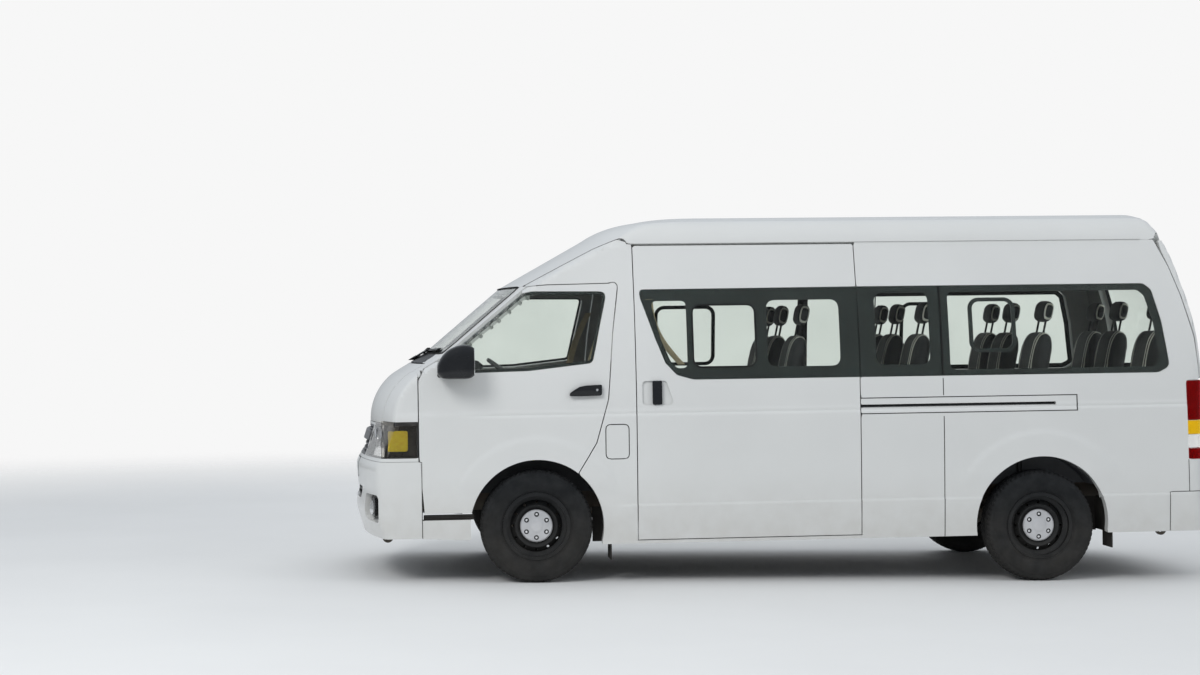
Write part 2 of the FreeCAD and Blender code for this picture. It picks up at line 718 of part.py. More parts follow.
def grille():
    """Curved grille: a backing, thin bars, upright ribs, a rim and a broad bar that stands out."""
    backing = solids(between(34, WALL - 8, GRILLE_CUT))
    low = NOSE - 300
    high = NOSE + 100
    pieces = []
    count = int((GRILLE_TOP - GRILLE_FOOT) / size("grille_bar_pitch"))
    for i in range(1, count + 1):
        foot = GRILLE_FOOT + i * size("grille_bar_pitch")
        pieces.append(between(10, 35, box(low, high, -GRILLE_HALF, GRILLE_HALF, foot - 4, foot + 4)))
    ribs = int(GRILLE_HALF / size("grille_rib_pitch"))
    for i in range(-ribs, ribs + 1):
        middle = i * size("grille_rib_pitch")
        pieces.append(between(16, 35, box(low, high, middle - 4, middle + 4, GRILLE_FOOT, GRILLE_TOP)))
    rim = front_slab([(-GRILLE_HALF, GRILLE_FOOT), (GRILLE_HALF, GRILLE_FOOT), (GRILLE_HALF, GRILLE_TOP),
                      (-GRILLE_HALF, GRILLE_TOP)], low, high)
    opening = [(-GRILLE_HALF + 16, GRILLE_FOOT + 14), (GRILLE_HALF - 16, GRILLE_FOOT + 14),
               (GRILLE_HALF - 16, GRILLE_TOP - 14), (-GRILLE_HALF + 16, GRILLE_TOP - 14)]
    rim = rim.cut(front_slab(rounded(opening, 20), low, high))
    pieces.append(between(4, 35, rim))
    broad = box(low, high, -GRILLE_HALF, GRILLE_HALF, GRILLE_TOP - 92, GRILLE_TOP - 40)
    pieces.append(between(-10, 35, broad))
    pieces = [piece.common(GRILLE_CUT) for piece in pieces]
    return largest(fuse([backing] + [piece for piece in pieces if piece.Volume > 10]))


def build_doors():
    """Front doors, sliding door, tailgate, bonnet and fuel flap."""
    door = SHELL.common(slab(FRONT_DOOR, 300, FAR, GAP)).common(DOOR_SIDE)
    door = door.cut(arch("front", GAP / 2, 300, FAR)).cut(WINDOW_CUT)
    door = largest(door.cut(recess(side_cut(DOOR_SCOOP, 24), 6)))
    bar = between(-26, -12, side_cut(DOOR_HANDLE, 7))
    ends = [side_cut(DOOR_HANDLE, 7).common(box(x, x + 42, 300, FAR, BELT, BELT + 200)) for x in (-396, -258)]
    handle = fuse([bar] + [raised(end, 13, 8) for end in ends])
    seat_x = DOOR_FRONT - SEAT_GAP
    hinges = [box(seat_x - 12, seat_x, HALF - 14, HALF - 3, z, z + 60) for z in (BELT - 240, BELT - 60)]
    door = fuse([door, handle] + hinges)
    pane = solids(SKIN.common(WINDOW_CUT))
    for side, turn in (("left", lambda s: s), ("right", mirrored)):
        node("front_door_" + side, turn(door), BODY_FRAME)
        node("front_door_glass_" + side, turn(pane), BODY_FRAME)
        node("mirror_" + side, turn(door_mirror()), BODY_FRAME)

    slide = SHELL.common(slab(SLIDE_DOOR, 300, FAR, GAP))
    rollers = [box(x - 30, x + 30, HALF - 48, HALF - 38, SILL + 18, SILL + 30)
               for x in (SLIDE_FRONT - 120, SLIDE_REAR + 120)]
    slide = slide.cut(side_cut(SLIDE_GLASS, 30)).cut(recess(side_cut(SLIDE_SCOOP, 20), 14))
    bar = between(-10, 4, side_cut(SLIDE_HANDLE, 7))
    feet = [between(3, 16, box(SLIDE_FRONT - 154, SLIDE_FRONT - 104, 300, FAR, z, z + 24))
            for z in (BELT + 44, BELT + 150)]
    node("sliding_door", fuse([largest(slide), bar] + feet + rollers), BODY_FRAME)
    node("sliding_door_glass", solids(SKIN.common(side_cut(SLIDE_GLASS, 30))), BODY_FRAME)

    lid_seam = [(rear(-784) - LID_RELIEF, SEAM), (rear(-816) - LID_RELIEF / 4, SEAM - 70)] + TAIL_SEAM[1:]
    high = slab(lid_seam + [(END, BELT + 138), (END, SEAM)], -FAR, FAR, GAP)
    low = box(END, rear(-800), GAP - TAILGATE_HALF, TAILGATE_HALF - GAP,
              REAR_BUMPER_TOP + GAP, BELT + 170)
    lid = SHELL.common(high.fuse(low))
    window = rounded([(-700, BELT + 175), (700, BELT + 175), (640, SEAM - 165), (-640, SEAM - 165)], 60)
    window_cut = front_slab(window, END, rear(-700))
    hinges = [box(TAIL_HINGE_X + 3, TAIL_HINGE_X + 15, y - 30, y + 30, SEAM - 14, SEAM - SEAT_GAP)
              for y in (-120, 120)]
    lid = lid.cut(recess(front_slab(rounded(PLATE_RECESS, 20), END, rear(-800)), 12))
    pads = [raised(front_slab(rounded(points, 12), END, rear(-700)), height)
            for points, height in ((LID_HANDLE, 16), (STOP_LAMP, 8))]
    node("tailgate", fuse([largest(lid.cut(window_cut))] + hinges + pads), BODY_FRAME)
    node("tailgate_glass", solids(SKIN.common(window_cut)), BODY_FRAME)

    bonnet = box(400, NOSE + 100, GAP - BONNET_HALF, BONNET_HALF - GAP, BONNET_FOOT + GAP, COWL_FOOT - GAP)
    hinges = [box(BONNET_HINGE_X - 16, BONNET_HINGE_X - 4, y - 30, y + 30, COWL_FOOT - 14, COWL_FOOT - SEAT_GAP)
              for y in (-120, 120)]
    node("bonnet", fuse([largest(SHELL.common(bonnet))] + hinges), BODY_FRAME)
    thin = FULL.cut(envelope(12))
    flap = thin.common(side_cut(FUEL_FLAP, 12, GAP))
    front = FUEL_FLAP[0][0]
    hinge = box(front - 14, front - SEAT_GAP, HALF - 9, HALF - 3, FUEL_FLAP[0][1] - 130, FUEL_FLAP[0][1] - 84)
    node("fuel_flap", fuse([largest(flap), hinge]), BODY_FRAME)


def door_mirror():
    """Rear-view mirror housing and its two-legged foot on the door."""
    housing = round_box(400, 585, HALF + 25, HALF + 195, BELT + 212, BELT + 415, 38)
    housing = housing.cut(round_box(370, 410, HALF + 42, HALF + 178, BELT + 232, BELT + 395, 16))
    foot = rod((612, HALF - 60, BELT + 212), (520, HALF + 75, BELT + 262), 17)
    return fuse([housing, foot]).cut(FULL)


def wiper(pivot, bend, start, tip, ahead):
    """Wiper from its pivot over an arm to a blade; points are (half width, height)."""
    low, high = (60, NOSE) if ahead else (END, rear(-700))
    strips = ((pivot, bend, 9, -24, -13), (start, tip, 6, -14, -1))
    pieces = []
    for first, last, half, outer, inner in strips:
        run = Vector(last[0] - first[0], last[1] - first[1], 0)
        side = Vector(-run.y, run.x, 0).normalize() * half
        corners = [(first[0] + side.x, first[1] + side.y), (last[0] + side.x, last[1] + side.y),
                   (last[0] - side.x, last[1] - side.y), (first[0] - side.x, first[1] - side.y)]
        pieces.append(between(outer, inner, front_slab(corners, low, high)))
    station = skin_station(pivot[0], pivot[1], ahead)
    hub = rod((station - 60, *pivot), (station + 60, *pivot), 15)
    pieces.append(between(-26, -SEAT_GAP, hub))
    joint = rod((low, *bend), (high, *bend), 8)
    pieces.append(between(-24, -2, joint))
    return largest(fuse(pieces))


def build_wipers():
    """Windscreen wipers and the rear wiper."""
    foot = SCREEN_FOOT
    front = [wiper((y, foot - 28), (y + 300, foot + 22), (y + 20, foot + 14), (y + 560, foot + 29), True)
             for y in (-640, 10)]
    node("front_wipers", Part.makeCompound(front), BODY_FRAME)
    back = wiper((0, BELT + 148), (240, BELT + 212), (20, BELT + 204), (450, BELT + 219), False)
    node("rear_wiper", back, BODY_FRAME)


def build_floor():
    """Cabin floor with the engine cover and the wheel housings."""
    thick = size("floor_thickness")
    edge = size("sill_half_width") - WALL - 2
    sheet = size("housing_wall")
    plate = box(rear(-860), DOOR_FRONT - 70, -edge, edge, FLOOR - thick, FLOOR)
    riser = box(-540, 280, -edge, edge, FLOOR - thick, RISER_TOP)
    cover = box(-540, 280, -330, 330, FLOOR - thick, FLOOR + 330)
    hollow = box(-520, 260, -310, 310, FLOOR - thick - 10, FLOOR + 310)
    hollow = hollow.fuse(box(-520, 260, -edge + 20, edge - 20, FLOOR - thick - 10, RISER_TOP - 20))
    housings = []
    insides = []
    for which in ("front", "rear"):
        inner = HALF - size(which + "_housing_depth")
        housings.append(arch(which, sheet, inner, edge))
        insides.append(arch(which, 0, inner + sheet, edge + 40))
    above = box(rear(-1010), NOSE, -FAR, FAR, FLOOR - thick, 2000)
    ledge = box(rear(-860), -560, edge - 10, HALF, FLOOR - thick, FLOOR).common(INNER)
    floor = fuse([plate, cover, riser, ledge, mirrored(ledge)]).cut(hollow)
    floor = fuse([floor] + [h.common(above) for h in housings]
                 + [mirrored(h).common(above) for h in housings])
    for inside in insides:
        floor = floor.cut(inside).cut(mirrored(inside))
    node("floor_pan", largest(floor), BODY_FRAME)


def build_frame():
    """Ladder frame under the floor."""
    half = size("rail_half_spacing")
    wide = size("rail_width") / 2
    top = FLOOR - size("floor_thickness")
    low = top - size("rail_height")
    rails = [box(rear(-1000), NOSE - 170, s * half - wide, s * half + wide, low, top) for s in (-1, 1)]
    stations = (NOSE - 250, 220, -1500, -2400, rear(-880))
    crosses = [box(x - 30, x + 30, -half, half, top - 60, top - 15) for x in stations]
    crosses.append(box(-630, -570, -half, half, low + 15, GEARBOX_FOOT))
    for s in (-1, 1):
        y0, y1 = sorted((s * 300, s * 420))
        crosses.append(box(-180, 180, y0, y1, low - 130, low))
    outriggers = []
    for x in (-700, -1300, -1900):
        for s in (-1, 1):
            y0, y1 = sorted((s * (half + wide), s * (HALF - WALL - 30)))
            outriggers.append(box(x - 25, x + 25, y0, y1, top - 60, top))
    eyes = [tow_eye(TOW_FRONT, low), tow_eye(TOW_REAR, low)]
    node("chassis_frame", fuse(rails + crosses + outriggers + eyes), BODY_FRAME)
    engine = box(-430, 190, -270, 270, low - 40, FLOOR + 250)
    gearbox = box(-760, -430, -100, 100, GEARBOX_FOOT, top - 5)
    node("engine_block", fuse([engine, gearbox]), BODY_FRAME)
    node("fuel_tank", round_box(-1450, -750, 490, 830, low - 60, top - 60, 40), BODY_FRAME)
    pipe_y = -330
    pipe_z = low - 70
    corners = [(-380, -200, low - 40), (-380, -200, pipe_z), (-900, pipe_y, pipe_z), (-2600, pipe_y, pipe_z)]
    path = Part.makePolygon([Vector(*corner) for corner in corners])
    mouth = Part.Wire(Part.makeCircle(26, Vector(*corners[0]), Vector(0, 0, 1)))
    pipe = [Part.Wire(path).makePipeShell([mouth], True, False, 1)]
    pipe.append(rod((-1560, pipe_y, pipe_z), (-2340, pipe_y, pipe_z), 78))
    hangers = [box(x - 10, x + 10, pipe_y - 12, pipe_y + 12, pipe_z, top - 60) for x in (-1500, -2400)]
    node("exhaust", fuse(pipe + hangers), BODY_FRAME)
    spare = Part.makeTorus(235, 95, Vector(rear(-560), 0, low - 60), Vector(0, 0, 1))
    carrier = box(rear(-590), rear(-530), wide - half, half - wide, low, low + 40)
    dish = Part.makeCylinder(200, 60, Vector(rear(-560), 0, low - 90))
    node("spare_wheel", fuse([spare, dish, carrier]), BODY_FRAME)


def tow_eye(place, low):
    """Towing lug with its bore, hanging from a chassis rail to below the bumper."""
    station, height = place
    y = size("rail_half_spacing")
    lug = rod((station, y - 10, height), (station, y + 10, height), 34)
    hanger = box(station - 20, station + 20, y - 10, y + 10, height, low + 10)
    bore = rod((station, y - 10, height), (station, y + 10, height), size("tow_bore_radius"))
    return lug.fuse(hanger).cut(bore)


def seat(x, y, foot, cushion_top, width, lean=12):
    """Seat on a base, with a leaning back and a head restraint."""
    half = width / 2
    base = box(x - 60, x + 330, y - 75, y + 75, foot, cushion_top - 120)
    cushion = round_box(x - 80, x + 420, y - half, y + half, cushion_top - 130, cushion_top, 35)
    back = round_box(x - 110, x + 10, y - half, y + half, cushion_top - 100, cushion_top + 560, 35)
    head = round_box(x - 95, x - 5, y - 130, y + 130, cushion_top + 585, cushion_top + 740, 30)
    stays = [box(x - 58, x - 46, y + s * 70 - 6, y + s * 70 + 6, cushion_top + 500, cushion_top + 620)
             for s in (-1, 1)]
    upper = fuse([back, head] + stays)
    upper.rotate(Vector(x, y, cushion_top - 40), Vector(0, 1, 0), -lean)
    return fuse([base, cushion, upper])


def build_cabin():
    """Dashboard and seats."""
    inner = HALF - WALL - 70
    face = [
        (560, FLOOR),
        (560, BELT + 195),
        (300, BELT + 250),
        (235, BELT + 190),
        (300, BELT - 10),
        (320, FLOOR + 310),
        (520, FLOOR + 300),
        (520, FLOOR),
    ]
    tilt = math.radians(size("column_tilt"))
    down = Vector(math.sin(tilt), 0, -math.cos(tilt))
    hub = Vector(WHEEL_X, WHEEL_Y, WHEEL_Z)
    column = rod(hub + down * 28.3, hub + down * 430, 32)
    board = slab(face, -inner + 30, inner - 30)
    hood = [(300, BELT + 225), (262, BELT + 268), (300, BELT + 300), (440, BELT + 225, 390, BELT + 290)]
    binnacle = slab(hood, WHEEL_Y - 165, WHEEL_Y + 165)
    stack = [(330, BELT - 90), (222, BELT - 60), (196, BELT + 175), (240, BELT + 236), (420, BELT + 236),
             (420, BELT - 90)]
    centre = slab(rounded(stack, 18), -170, 150)
    node("dashboard", fuse([board, column, binnacle, centre]), BODY_FRAME)
    front_seat_top = BELT - 30
    pair = [seat(-430, s * 574, RISER_TOP, front_seat_top, 480) for s in (-1, 1)]
    node("front_seats", Part.makeCompound(pair), BODY_FRAME)
    wide = size("seat_width")
    rows = (-1500, -2280, -3060, -3800)
    places = []
    for row in rows:
        for y in (-590, -590 + wide + 8, 560):
            places.append(seat(row, y, FLOOR, FLOOR + size("seat_height"), wide))
    node("passenger_seats", Part.makeCompound(places), BODY_FRAME)


def build_axles():
    """Rear axle on leaf springs, propeller shaft and front suspension."""
    axle_x = -WHEELBASE
    half_track = TRACK / 2
    inner_end = half_track - 112
    low_rail = FLOOR - size("floor_thickness") - size("rail_height")
    tube = rod((axle_x, -inner_end, TYRE_R), (axle_x, inner_end, TYRE_R), 42)
    drums = []
    spindles = []
    for s in (-1, 1):
        inner = (axle_x, s * (half_track - 112), TYRE_R)
        outer = (axle_x, s * (half_track - 92), TYRE_R)
        drums.append(rod(inner, outer, 150))
        spindles.append(rod(outer, (axle_x, s * (half_track + 20), TYRE_R), size("spindle_radius")))
    bulge = Part.makeSphere(125, Vector(axle_x, 0, TYRE_R))
    nose = rod((axle_x, 0, TYRE_R), (axle_x + 230, 0, TYRE_R + 10), 60)
    node("rear_axle", fuse([tube, bulge, nose] + drums + spindles), AXLE_FRAME)
    shaft = rod((axle_x + 231, 0, TYRE_R + 10), on_body(-764, 0, low_rail + 60), 36)
    node("propeller_shaft", shaft, AXLE_FRAME)

    springs = []
    for s in (-1, 1):
        y = s * 560
        front_eye = on_body(rear(600), y, low_rail + 15)
        back_eye = on_body(rear(-560), y, low_rail + 30)
        seat_top = TYRE_R + 42
        strip = [
            (front_eye[0], front_eye[2] - 8),
            (front_eye[0], front_eye[2] + 8),
            (back_eye[0], back_eye[2] + 8, axle_x, seat_top + 30),
            (back_eye[0], back_eye[2] - 8),
            (front_eye[0], front_eye[2] - 8, axle_x, seat_top),
        ]
        leaf = slab(strip[1:], y - 32, y + 32)
        short = box(axle_x - 60, axle_x + 60, y - 36, y + 36, TYRE_R + 30, seat_top + 40)
        eyes = []
        for eye in (front_eye, back_eye):
            inner = s * (size("rail_half_spacing") + size("rail_width") / 2)
            eyes.append(rod((eye[0], inner, eye[2]), (eye[0], y + s * 36, eye[2]), 24))
        springs.append(fuse([leaf, short] + eyes).cut(tube))
    node("leaf_springs", Part.makeCompound(springs), AXLE_FRAME)

    pin_y = half_track - size("kingpin_inset")
    inner_y = size("rail_half_spacing") + size("rail_width") / 2
    arms = []
    for s in (-1, 1):
        for height, spread, from_rail, wall_y in ((LOWER_BALL, 140, -90, 420), (UPPER_BALL, 90, 50, inner_y)):
            foot = low_rail + from_rail
            y = s * (wall_y + 18)
            ball = (0, s * pin_y, height)
            legs = [rod((k * spread, y, foot), ball, 12) for k in (-1, 1)]
            pivot = rod((-spread - 30, y, foot), (spread + 30, y, foot), 17.7)
            arms.append(fuse(legs + [pivot, Part.makeSphere(BALL_R, Vector(*ball))]))
    node("front_suspension", Part.makeCompound(arms), AXLE_FRAME)



def plane_of(body, role):
    """Origin plane or axis of a body."""
    return next(item for item in body.Origin.OriginFeatures if item.Role == role)


def bound_sketch(body, name, role, points):
    """Closed outline whose corners are expressions of the sheet."""
    sketch = body.newObject("Sketcher::SketchObject", name)
    sketch.AttachmentSupport = [(plane_of(body, role), "")]
    sketch.MapMode = "FlatFace"
    count = len(points)
    rough = [Vector(i * 10.0, (i * i) % 7 * 10.0, 0) for i in range(count)]
    for i in range(count):
        sketch.addGeometry(Part.LineSegment(rough[i], rough[(i + 1) % count]), False)
    for i in range(count):
        sketch.addConstraint(Sketcher.Constraint("Coincident", i, 2, (i + 1) % count, 1))
    for i, (across, along) in enumerate(points):
        for kind, text in (("DistanceX", across), ("DistanceY", along)):
            index = sketch.addConstraint(Sketcher.Constraint(kind, -1, 1, i, 1, 10.0))
            sketch.setExpression(f"Constraints[{index}]", text)
    return sketch


def revolved(body, name, points):
    """Solid of revolution about the body's Y axis from (radius, station) corners."""
    sketch = bound_sketch(body, name + "Profile", "XY_Plane", points)
    turn = body.newObject("PartDesign::Revolution", name)
    turn.Profile = sketch
    turn.ReferenceAxis = (sketch, ["V_Axis"])
    turn.Angle = 360
    DOC.recompute()
    return turn


def ring_of_holes(body, name, circle_radius, hole_radius, count_alias):
    """Round holes through the wheel disc, repeated about its axis."""
    sketch = body.newObject("Sketcher::SketchObject", name + "Circle")
    sketch.AttachmentSupport = [(plane_of(body, "XZ_Plane"), "")]
    sketch.MapMode = "FlatFace"
    sketch.addGeometry(Part.Circle(Vector(50, 0, 0), Vector(0, 0, 1), 5), False)
    sketch.addConstraint(Sketcher.Constraint("Radius", 0, 5))
    sketch.setExpression("Constraints[0]", hole_radius)
    sketch.addConstraint(Sketcher.Constraint("DistanceX", -1, 1, 0, 3, 50))
    sketch.setExpression("Constraints[1]", circle_radius)
    sketch.addConstraint(Sketcher.Constraint("DistanceY", -1, 1, 0, 3, 0))
    pocket = body.newObject("PartDesign::Pocket", name)
    pocket.Profile = sketch
    pocket.Type = "ThroughAll"
    pocket.Midplane = True
    DOC.recompute()
    pattern = body.newObject("PartDesign::PolarPattern", name + "Ring")
    pattern.Originals = [pocket]
    pattern.Axis = (plane_of(body, "Y_Axis"), [""])
    pattern.Angle = 360
    pattern.Occurrences = int(size(count_alias))
    pattern.setExpression("Occurrences", "Sizes." + count_alias)
    body.Tip = pattern
    DOC.recompute()
    return pattern


def wheel_place(axle, side):
    """Centre of a wheel, turned so that its outer face looks outwards."""
    x = FRONT_AXLE_X - (WHEELBASE if axle == "rear" else 0)
    s = 1 if side == "left" else -1
    facing = Rotation(Vector(0, 0, 1), 0 if s > 0 else 180)
    return Placement(Vector(x, s * TRACK / 2, TYRE_R), facing)


RIM_EDGE = "Sizes.rim_width / 2"
WHEEL_PROFILE = (
    ("Sizes.rim_radius + 15", RIM_EDGE),
    ("Sizes.rim_radius + 15", RIM_EDGE + " - 8"),
    ("Sizes.rim_radius", RIM_EDGE + " - 8"),
    ("Sizes.rim_radius", RIM_EDGE + " - 26"),
    ("Sizes.rim_radius - 26", RIM_EDGE + " - 44"),
    ("Sizes.rim_radius - 26", "-" + RIM_EDGE + " + 38"),
    ("Sizes.rim_radius", "-" + RIM_EDGE + " + 24"),
    ("Sizes.rim_radius", "-" + RIM_EDGE + " + 8"),
    ("Sizes.rim_radius + 15", "-" + RIM_EDGE + " + 8"),
    ("Sizes.rim_radius + 15", "-" + RIM_EDGE),
    ("Sizes.rim_radius - 7", "-" + RIM_EDGE),
    ("Sizes.rim_radius - 7", "-" + RIM_EDGE + " + 20"),
    ("Sizes.rim_radius - 33", "-" + RIM_EDGE + " + 34"),
    ("Sizes.rim_radius - 33", "Sizes.disc_offset - 26"),
    ("Sizes.ring_radius", "Sizes.disc_offset"),
    ("Sizes.hub_radius + 8", "Sizes.disc_offset - 14"),
    ("Sizes.spindle_radius + Sizes.fit_clearance", "Sizes.disc_offset - 14"),
    ("Sizes.spindle_radius + Sizes.fit_clearance", "Sizes.disc_offset + 6"),
    ("Sizes.spindle_radius + 8", "Sizes.disc_offset + 14"),
    ("Sizes.hub_radius - 8", "Sizes.disc_offset + 6"),
    ("Sizes.hub_radius", "Sizes.disc_offset - 2"),
    ("Sizes.hub_radius + 6", "Sizes.disc_offset - 14 + Sizes.disc_thickness"),
    ("Sizes.ring_radius", "Sizes.disc_offset + Sizes.disc_thickness"),
    ("Sizes.rim_radius - 33", "Sizes.disc_offset - 26 + Sizes.disc_thickness"),
    ("Sizes.rim_radius - 33", RIM_EDGE + " - 48"),
    ("Sizes.rim_radius - 7", RIM_EDGE + " - 30"),
    ("Sizes.rim_radius - 7", RIM_EDGE),
)
TYRE_EDGE = "Sizes.tyre_width / 2"
TYRE_SIDE = (
    ("Sizes.rim_radius + Sizes.fit_clearance", RIM_EDGE + " - 18"),
    ("Sizes.rim_radius + Sizes.fit_clearance", RIM_EDGE + " - 8"),
    ("Sizes.rim_radius + 15", RIM_EDGE + " - 8"),
    ("Sizes.rim_radius + 24", RIM_EDGE + " + 3"),
    ("Sizes.rim_radius + 50", TYRE_EDGE + " - 5"),
    ("Sizes.tyre_radius - 72", TYRE_EDGE),
    ("Sizes.tyre_radius - 32", TYRE_EDGE + " - 6"),
    ("Sizes.tyre_radius - 10", TYRE_EDGE + " - 16"),
    ("Sizes.tyre_radius", TYRE_EDGE + " - 34"),
)
TYRE_INSIDE = (
    ("Sizes.rim_radius + 30", RIM_EDGE + " - 8"),
    ("Sizes.tyre_radius - 80", TYRE_EDGE + " - 10"),
    ("Sizes.tyre_radius - 34", TYRE_EDGE + " - 18"),
    ("Sizes.tyre_radius - 16", TYRE_EDGE + " - 40"),
)


def both_sides(points):
    """Points of the outer half followed by their mirror images in reverse."""
    return list(points) + [(across, "-(" + along + ")") for across, along in reversed(points)]


def build_wheels():
    """Steel wheels and tyres, turned about their own axes."""
    for axle in ("front", "rear"):
        for side in ("left", "right"):
            name = f"wheel_{axle}_{side}"
            wheel = DOC.addObject("PartDesign::Body", name)
            wheel.Label = name
            revolved(wheel, name + "_turned", WHEEL_PROFILE)
            ring_of_holes(wheel, name + "_slots", "(Sizes.ring_radius + Sizes.rim_radius - 33) / 2",
                          "Sizes.slot_radius", "slot_count")
            ring_of_holes(wheel, name + "_nuts", "Sizes.stud_circle / 2",
                          "Sizes.nut_hole_radius", "stud_count")
            wheel.Placement = wheel_place(axle, side)
            NODES[name] = wheel
            tyre_name = f"tyre_{axle}_{side}"
            tyre = DOC.addObject("PartDesign::Body", tyre_name)
            tyre.Label = tyre_name
            inside = both_sides(TYRE_INSIDE)
            inside.reverse()
            revolved(tyre, tyre_name + "_turned", both_sides(TYRE_SIDE) + inside)
            tyre.Placement = wheel_place(axle, side)
            NODES[tyre_name] = tyre


def build_knuckles():
    """Front stub axles with their uprights, drums and steering arms."""
    half_track = TRACK / 2
    pin_y = half_track - size("kingpin_inset")
    for side, s in (("left", 1), ("right", -1)):
        upright = Part.makeCylinder(12, UPPER_BALL - LOWER_BALL - 2 * BALL_R - 0.6,
                                    Vector(0, s * pin_y, LOWER_BALL + BALL_R + 0.3))
        spindle = rod((0, s * pin_y, TYRE_R), (0, s * (half_track + size("disc_offset")), TYRE_R),
                      size("spindle_radius"))
        drum = rod((0, s * (half_track - 38), TYRE_R), (0, s * (half_track + 14), TYRE_R), 122)
        arm = rod((0, s * pin_y, TYRE_R - 50), (-125, s * (pin_y - 12), TYRE_R - 50), 12)
        node("knuckle_" + side, fuse([upright, spindle, drum, arm]), AXLE_FRAME)


def build_steering():
    """Steering wheel on the right-hand side."""
    tilt = Rotation(Vector(0, 1, 0), -size("column_tilt"))
    rim = Part.makeTorus(size("steering_radius"), 14)
    hub = Part.makeCylinder(38, 40, Vector(0, 0, -28))
    spokes = [rod((0, 0, -5), (size("steering_radius") * math.cos(a), size("steering_radius") * math.sin(a), 0), 9)
              for a in (math.radians(90), math.radians(-90), math.radians(180))]
    wheel = fuse([rim, hub] + spokes)
    place = Placement(Vector(WHEEL_X, WHEEL_Y, WHEEL_Z), tilt)
    node("steering_wheel", wheel, BODY_FRAME * place)


def primitive(kind, name, **bound):
    """Part primitive whose properties follow expressions of the sheet."""
    item = DOC.addObject("Part::" + kind, name)
    for prop, text in bound.items():
        item.setExpression(prop.replace("_", ".") if prop.startswith("Placement") else prop, text)
    return item


def build_trim():
    """Mud flaps behind the wheels, under the sills."""
    flaps = []
    for axle, station in (("front", "-Sizes.front_arch_radius - 46"),
                          ("rear", "-Sizes.wheelbase - Sizes.rear_arch_radius - 38")):
        for side, edge in (("left", "Sizes.mud_flap_inner"),
                           ("right", "-Sizes.mud_flap_inner - Sizes.mud_flap_width")):
            flaps.append(primitive(
                "Box", f"mud_flap_{axle}_{side}",
                Length="Sizes.mud_flap_thickness",
                Width="Sizes.mud_flap_width",
                Height="Sizes.mud_flap_drop",
                Placement_Base_x=station,
                Placement_Base_y=edge,
                Placement_Base_z="Sizes.sill_height - Sizes.mud_flap_drop",
            ))
    group = DOC.addObject("Part::Compound", "mud_flaps")
    group.Label = "mud_flaps"
    group.Links = flaps
    group.Placement = BODY_FRAME
    NODES["mud_flaps"] = group


BUILDERS = (build_body, build_lamps, build_doors, build_wipers, build_floor, build_frame, build_cabin, build_axles,
            build_wheels, build_knuckles, build_steering, build_trim)
for build in BUILDERS:
    build()
DOC.recompute()

for item in DOC.Objects:
    if "Invalid" in item.State or "Error" in item.State:
        raise RuntimeError(f"{item.Label} failed: {item.State}")
for label, sub_part in NODES.items():
    shape = sub_part.Shape
    if shape.isNull() or not shape.isValid():
        raise RuntimeError(f"{label} has no valid shape")

os.makedirs("parts", exist_ok=True)
for label, sub_part in NODES.items():
    sub_part.Shape.exportStep(f"parts/{label}.step")
    print(label, len(sub_part.Shape.Solids), round(sub_part.Shape.Volume / 1e6, 2))
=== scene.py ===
"""High-roof minibus: the finished look of its CAD assembly."""
import math

import bpy
import numpy as np
from mathutils import Matrix, Vector


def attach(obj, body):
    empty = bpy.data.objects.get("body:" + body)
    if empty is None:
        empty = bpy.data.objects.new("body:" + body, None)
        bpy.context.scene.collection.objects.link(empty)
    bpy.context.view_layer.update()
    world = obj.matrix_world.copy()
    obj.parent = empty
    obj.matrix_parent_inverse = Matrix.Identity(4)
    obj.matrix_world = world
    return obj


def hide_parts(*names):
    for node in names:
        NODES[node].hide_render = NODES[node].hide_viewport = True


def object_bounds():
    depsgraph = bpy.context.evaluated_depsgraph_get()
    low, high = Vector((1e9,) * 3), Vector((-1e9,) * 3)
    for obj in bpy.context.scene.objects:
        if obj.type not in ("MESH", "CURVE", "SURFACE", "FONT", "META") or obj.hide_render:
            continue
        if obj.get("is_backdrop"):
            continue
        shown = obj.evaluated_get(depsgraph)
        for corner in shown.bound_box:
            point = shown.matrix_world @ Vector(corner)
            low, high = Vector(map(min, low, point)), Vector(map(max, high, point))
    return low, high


bl_info = {
    "name": "High-roof minibus",
    "version": (1, 0, 0),
    "blender": (4, 5, 0),
    "location": "3D View > Sidebar > Minibus",
    "description": "Builds the painted body, glass, lamps, wheels and cabin of a high-roof minibus",
    "category": "Object",
}

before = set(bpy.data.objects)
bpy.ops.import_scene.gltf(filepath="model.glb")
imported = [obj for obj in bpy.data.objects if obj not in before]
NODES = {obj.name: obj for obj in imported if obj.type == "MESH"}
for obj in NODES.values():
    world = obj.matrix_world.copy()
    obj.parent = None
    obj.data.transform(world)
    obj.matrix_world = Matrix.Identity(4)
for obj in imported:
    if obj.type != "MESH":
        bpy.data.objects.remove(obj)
MATERIALS = {}

# Place of the level body: its origin stands below the front axle, and it is tilted nose down
AXLE_X = 1.59
AXLE_Y = 0.825
WHEELBASE = 3.11
RAKE = math.radians(1.2)
RAKE_HEIGHT = 0.5


# Materials

def socket(shader, name, value):
    """Set one input of a shader node."""
    shader.inputs[name].default_value = value


def new_material(name):
    """Empty node material with its shader and its output joined."""
    material = bpy.data.materials.new(name)
    material.use_nodes = True
    nodes = material.node_tree.nodes
    return material, nodes, material.node_tree.links, nodes["Principled BSDF"]


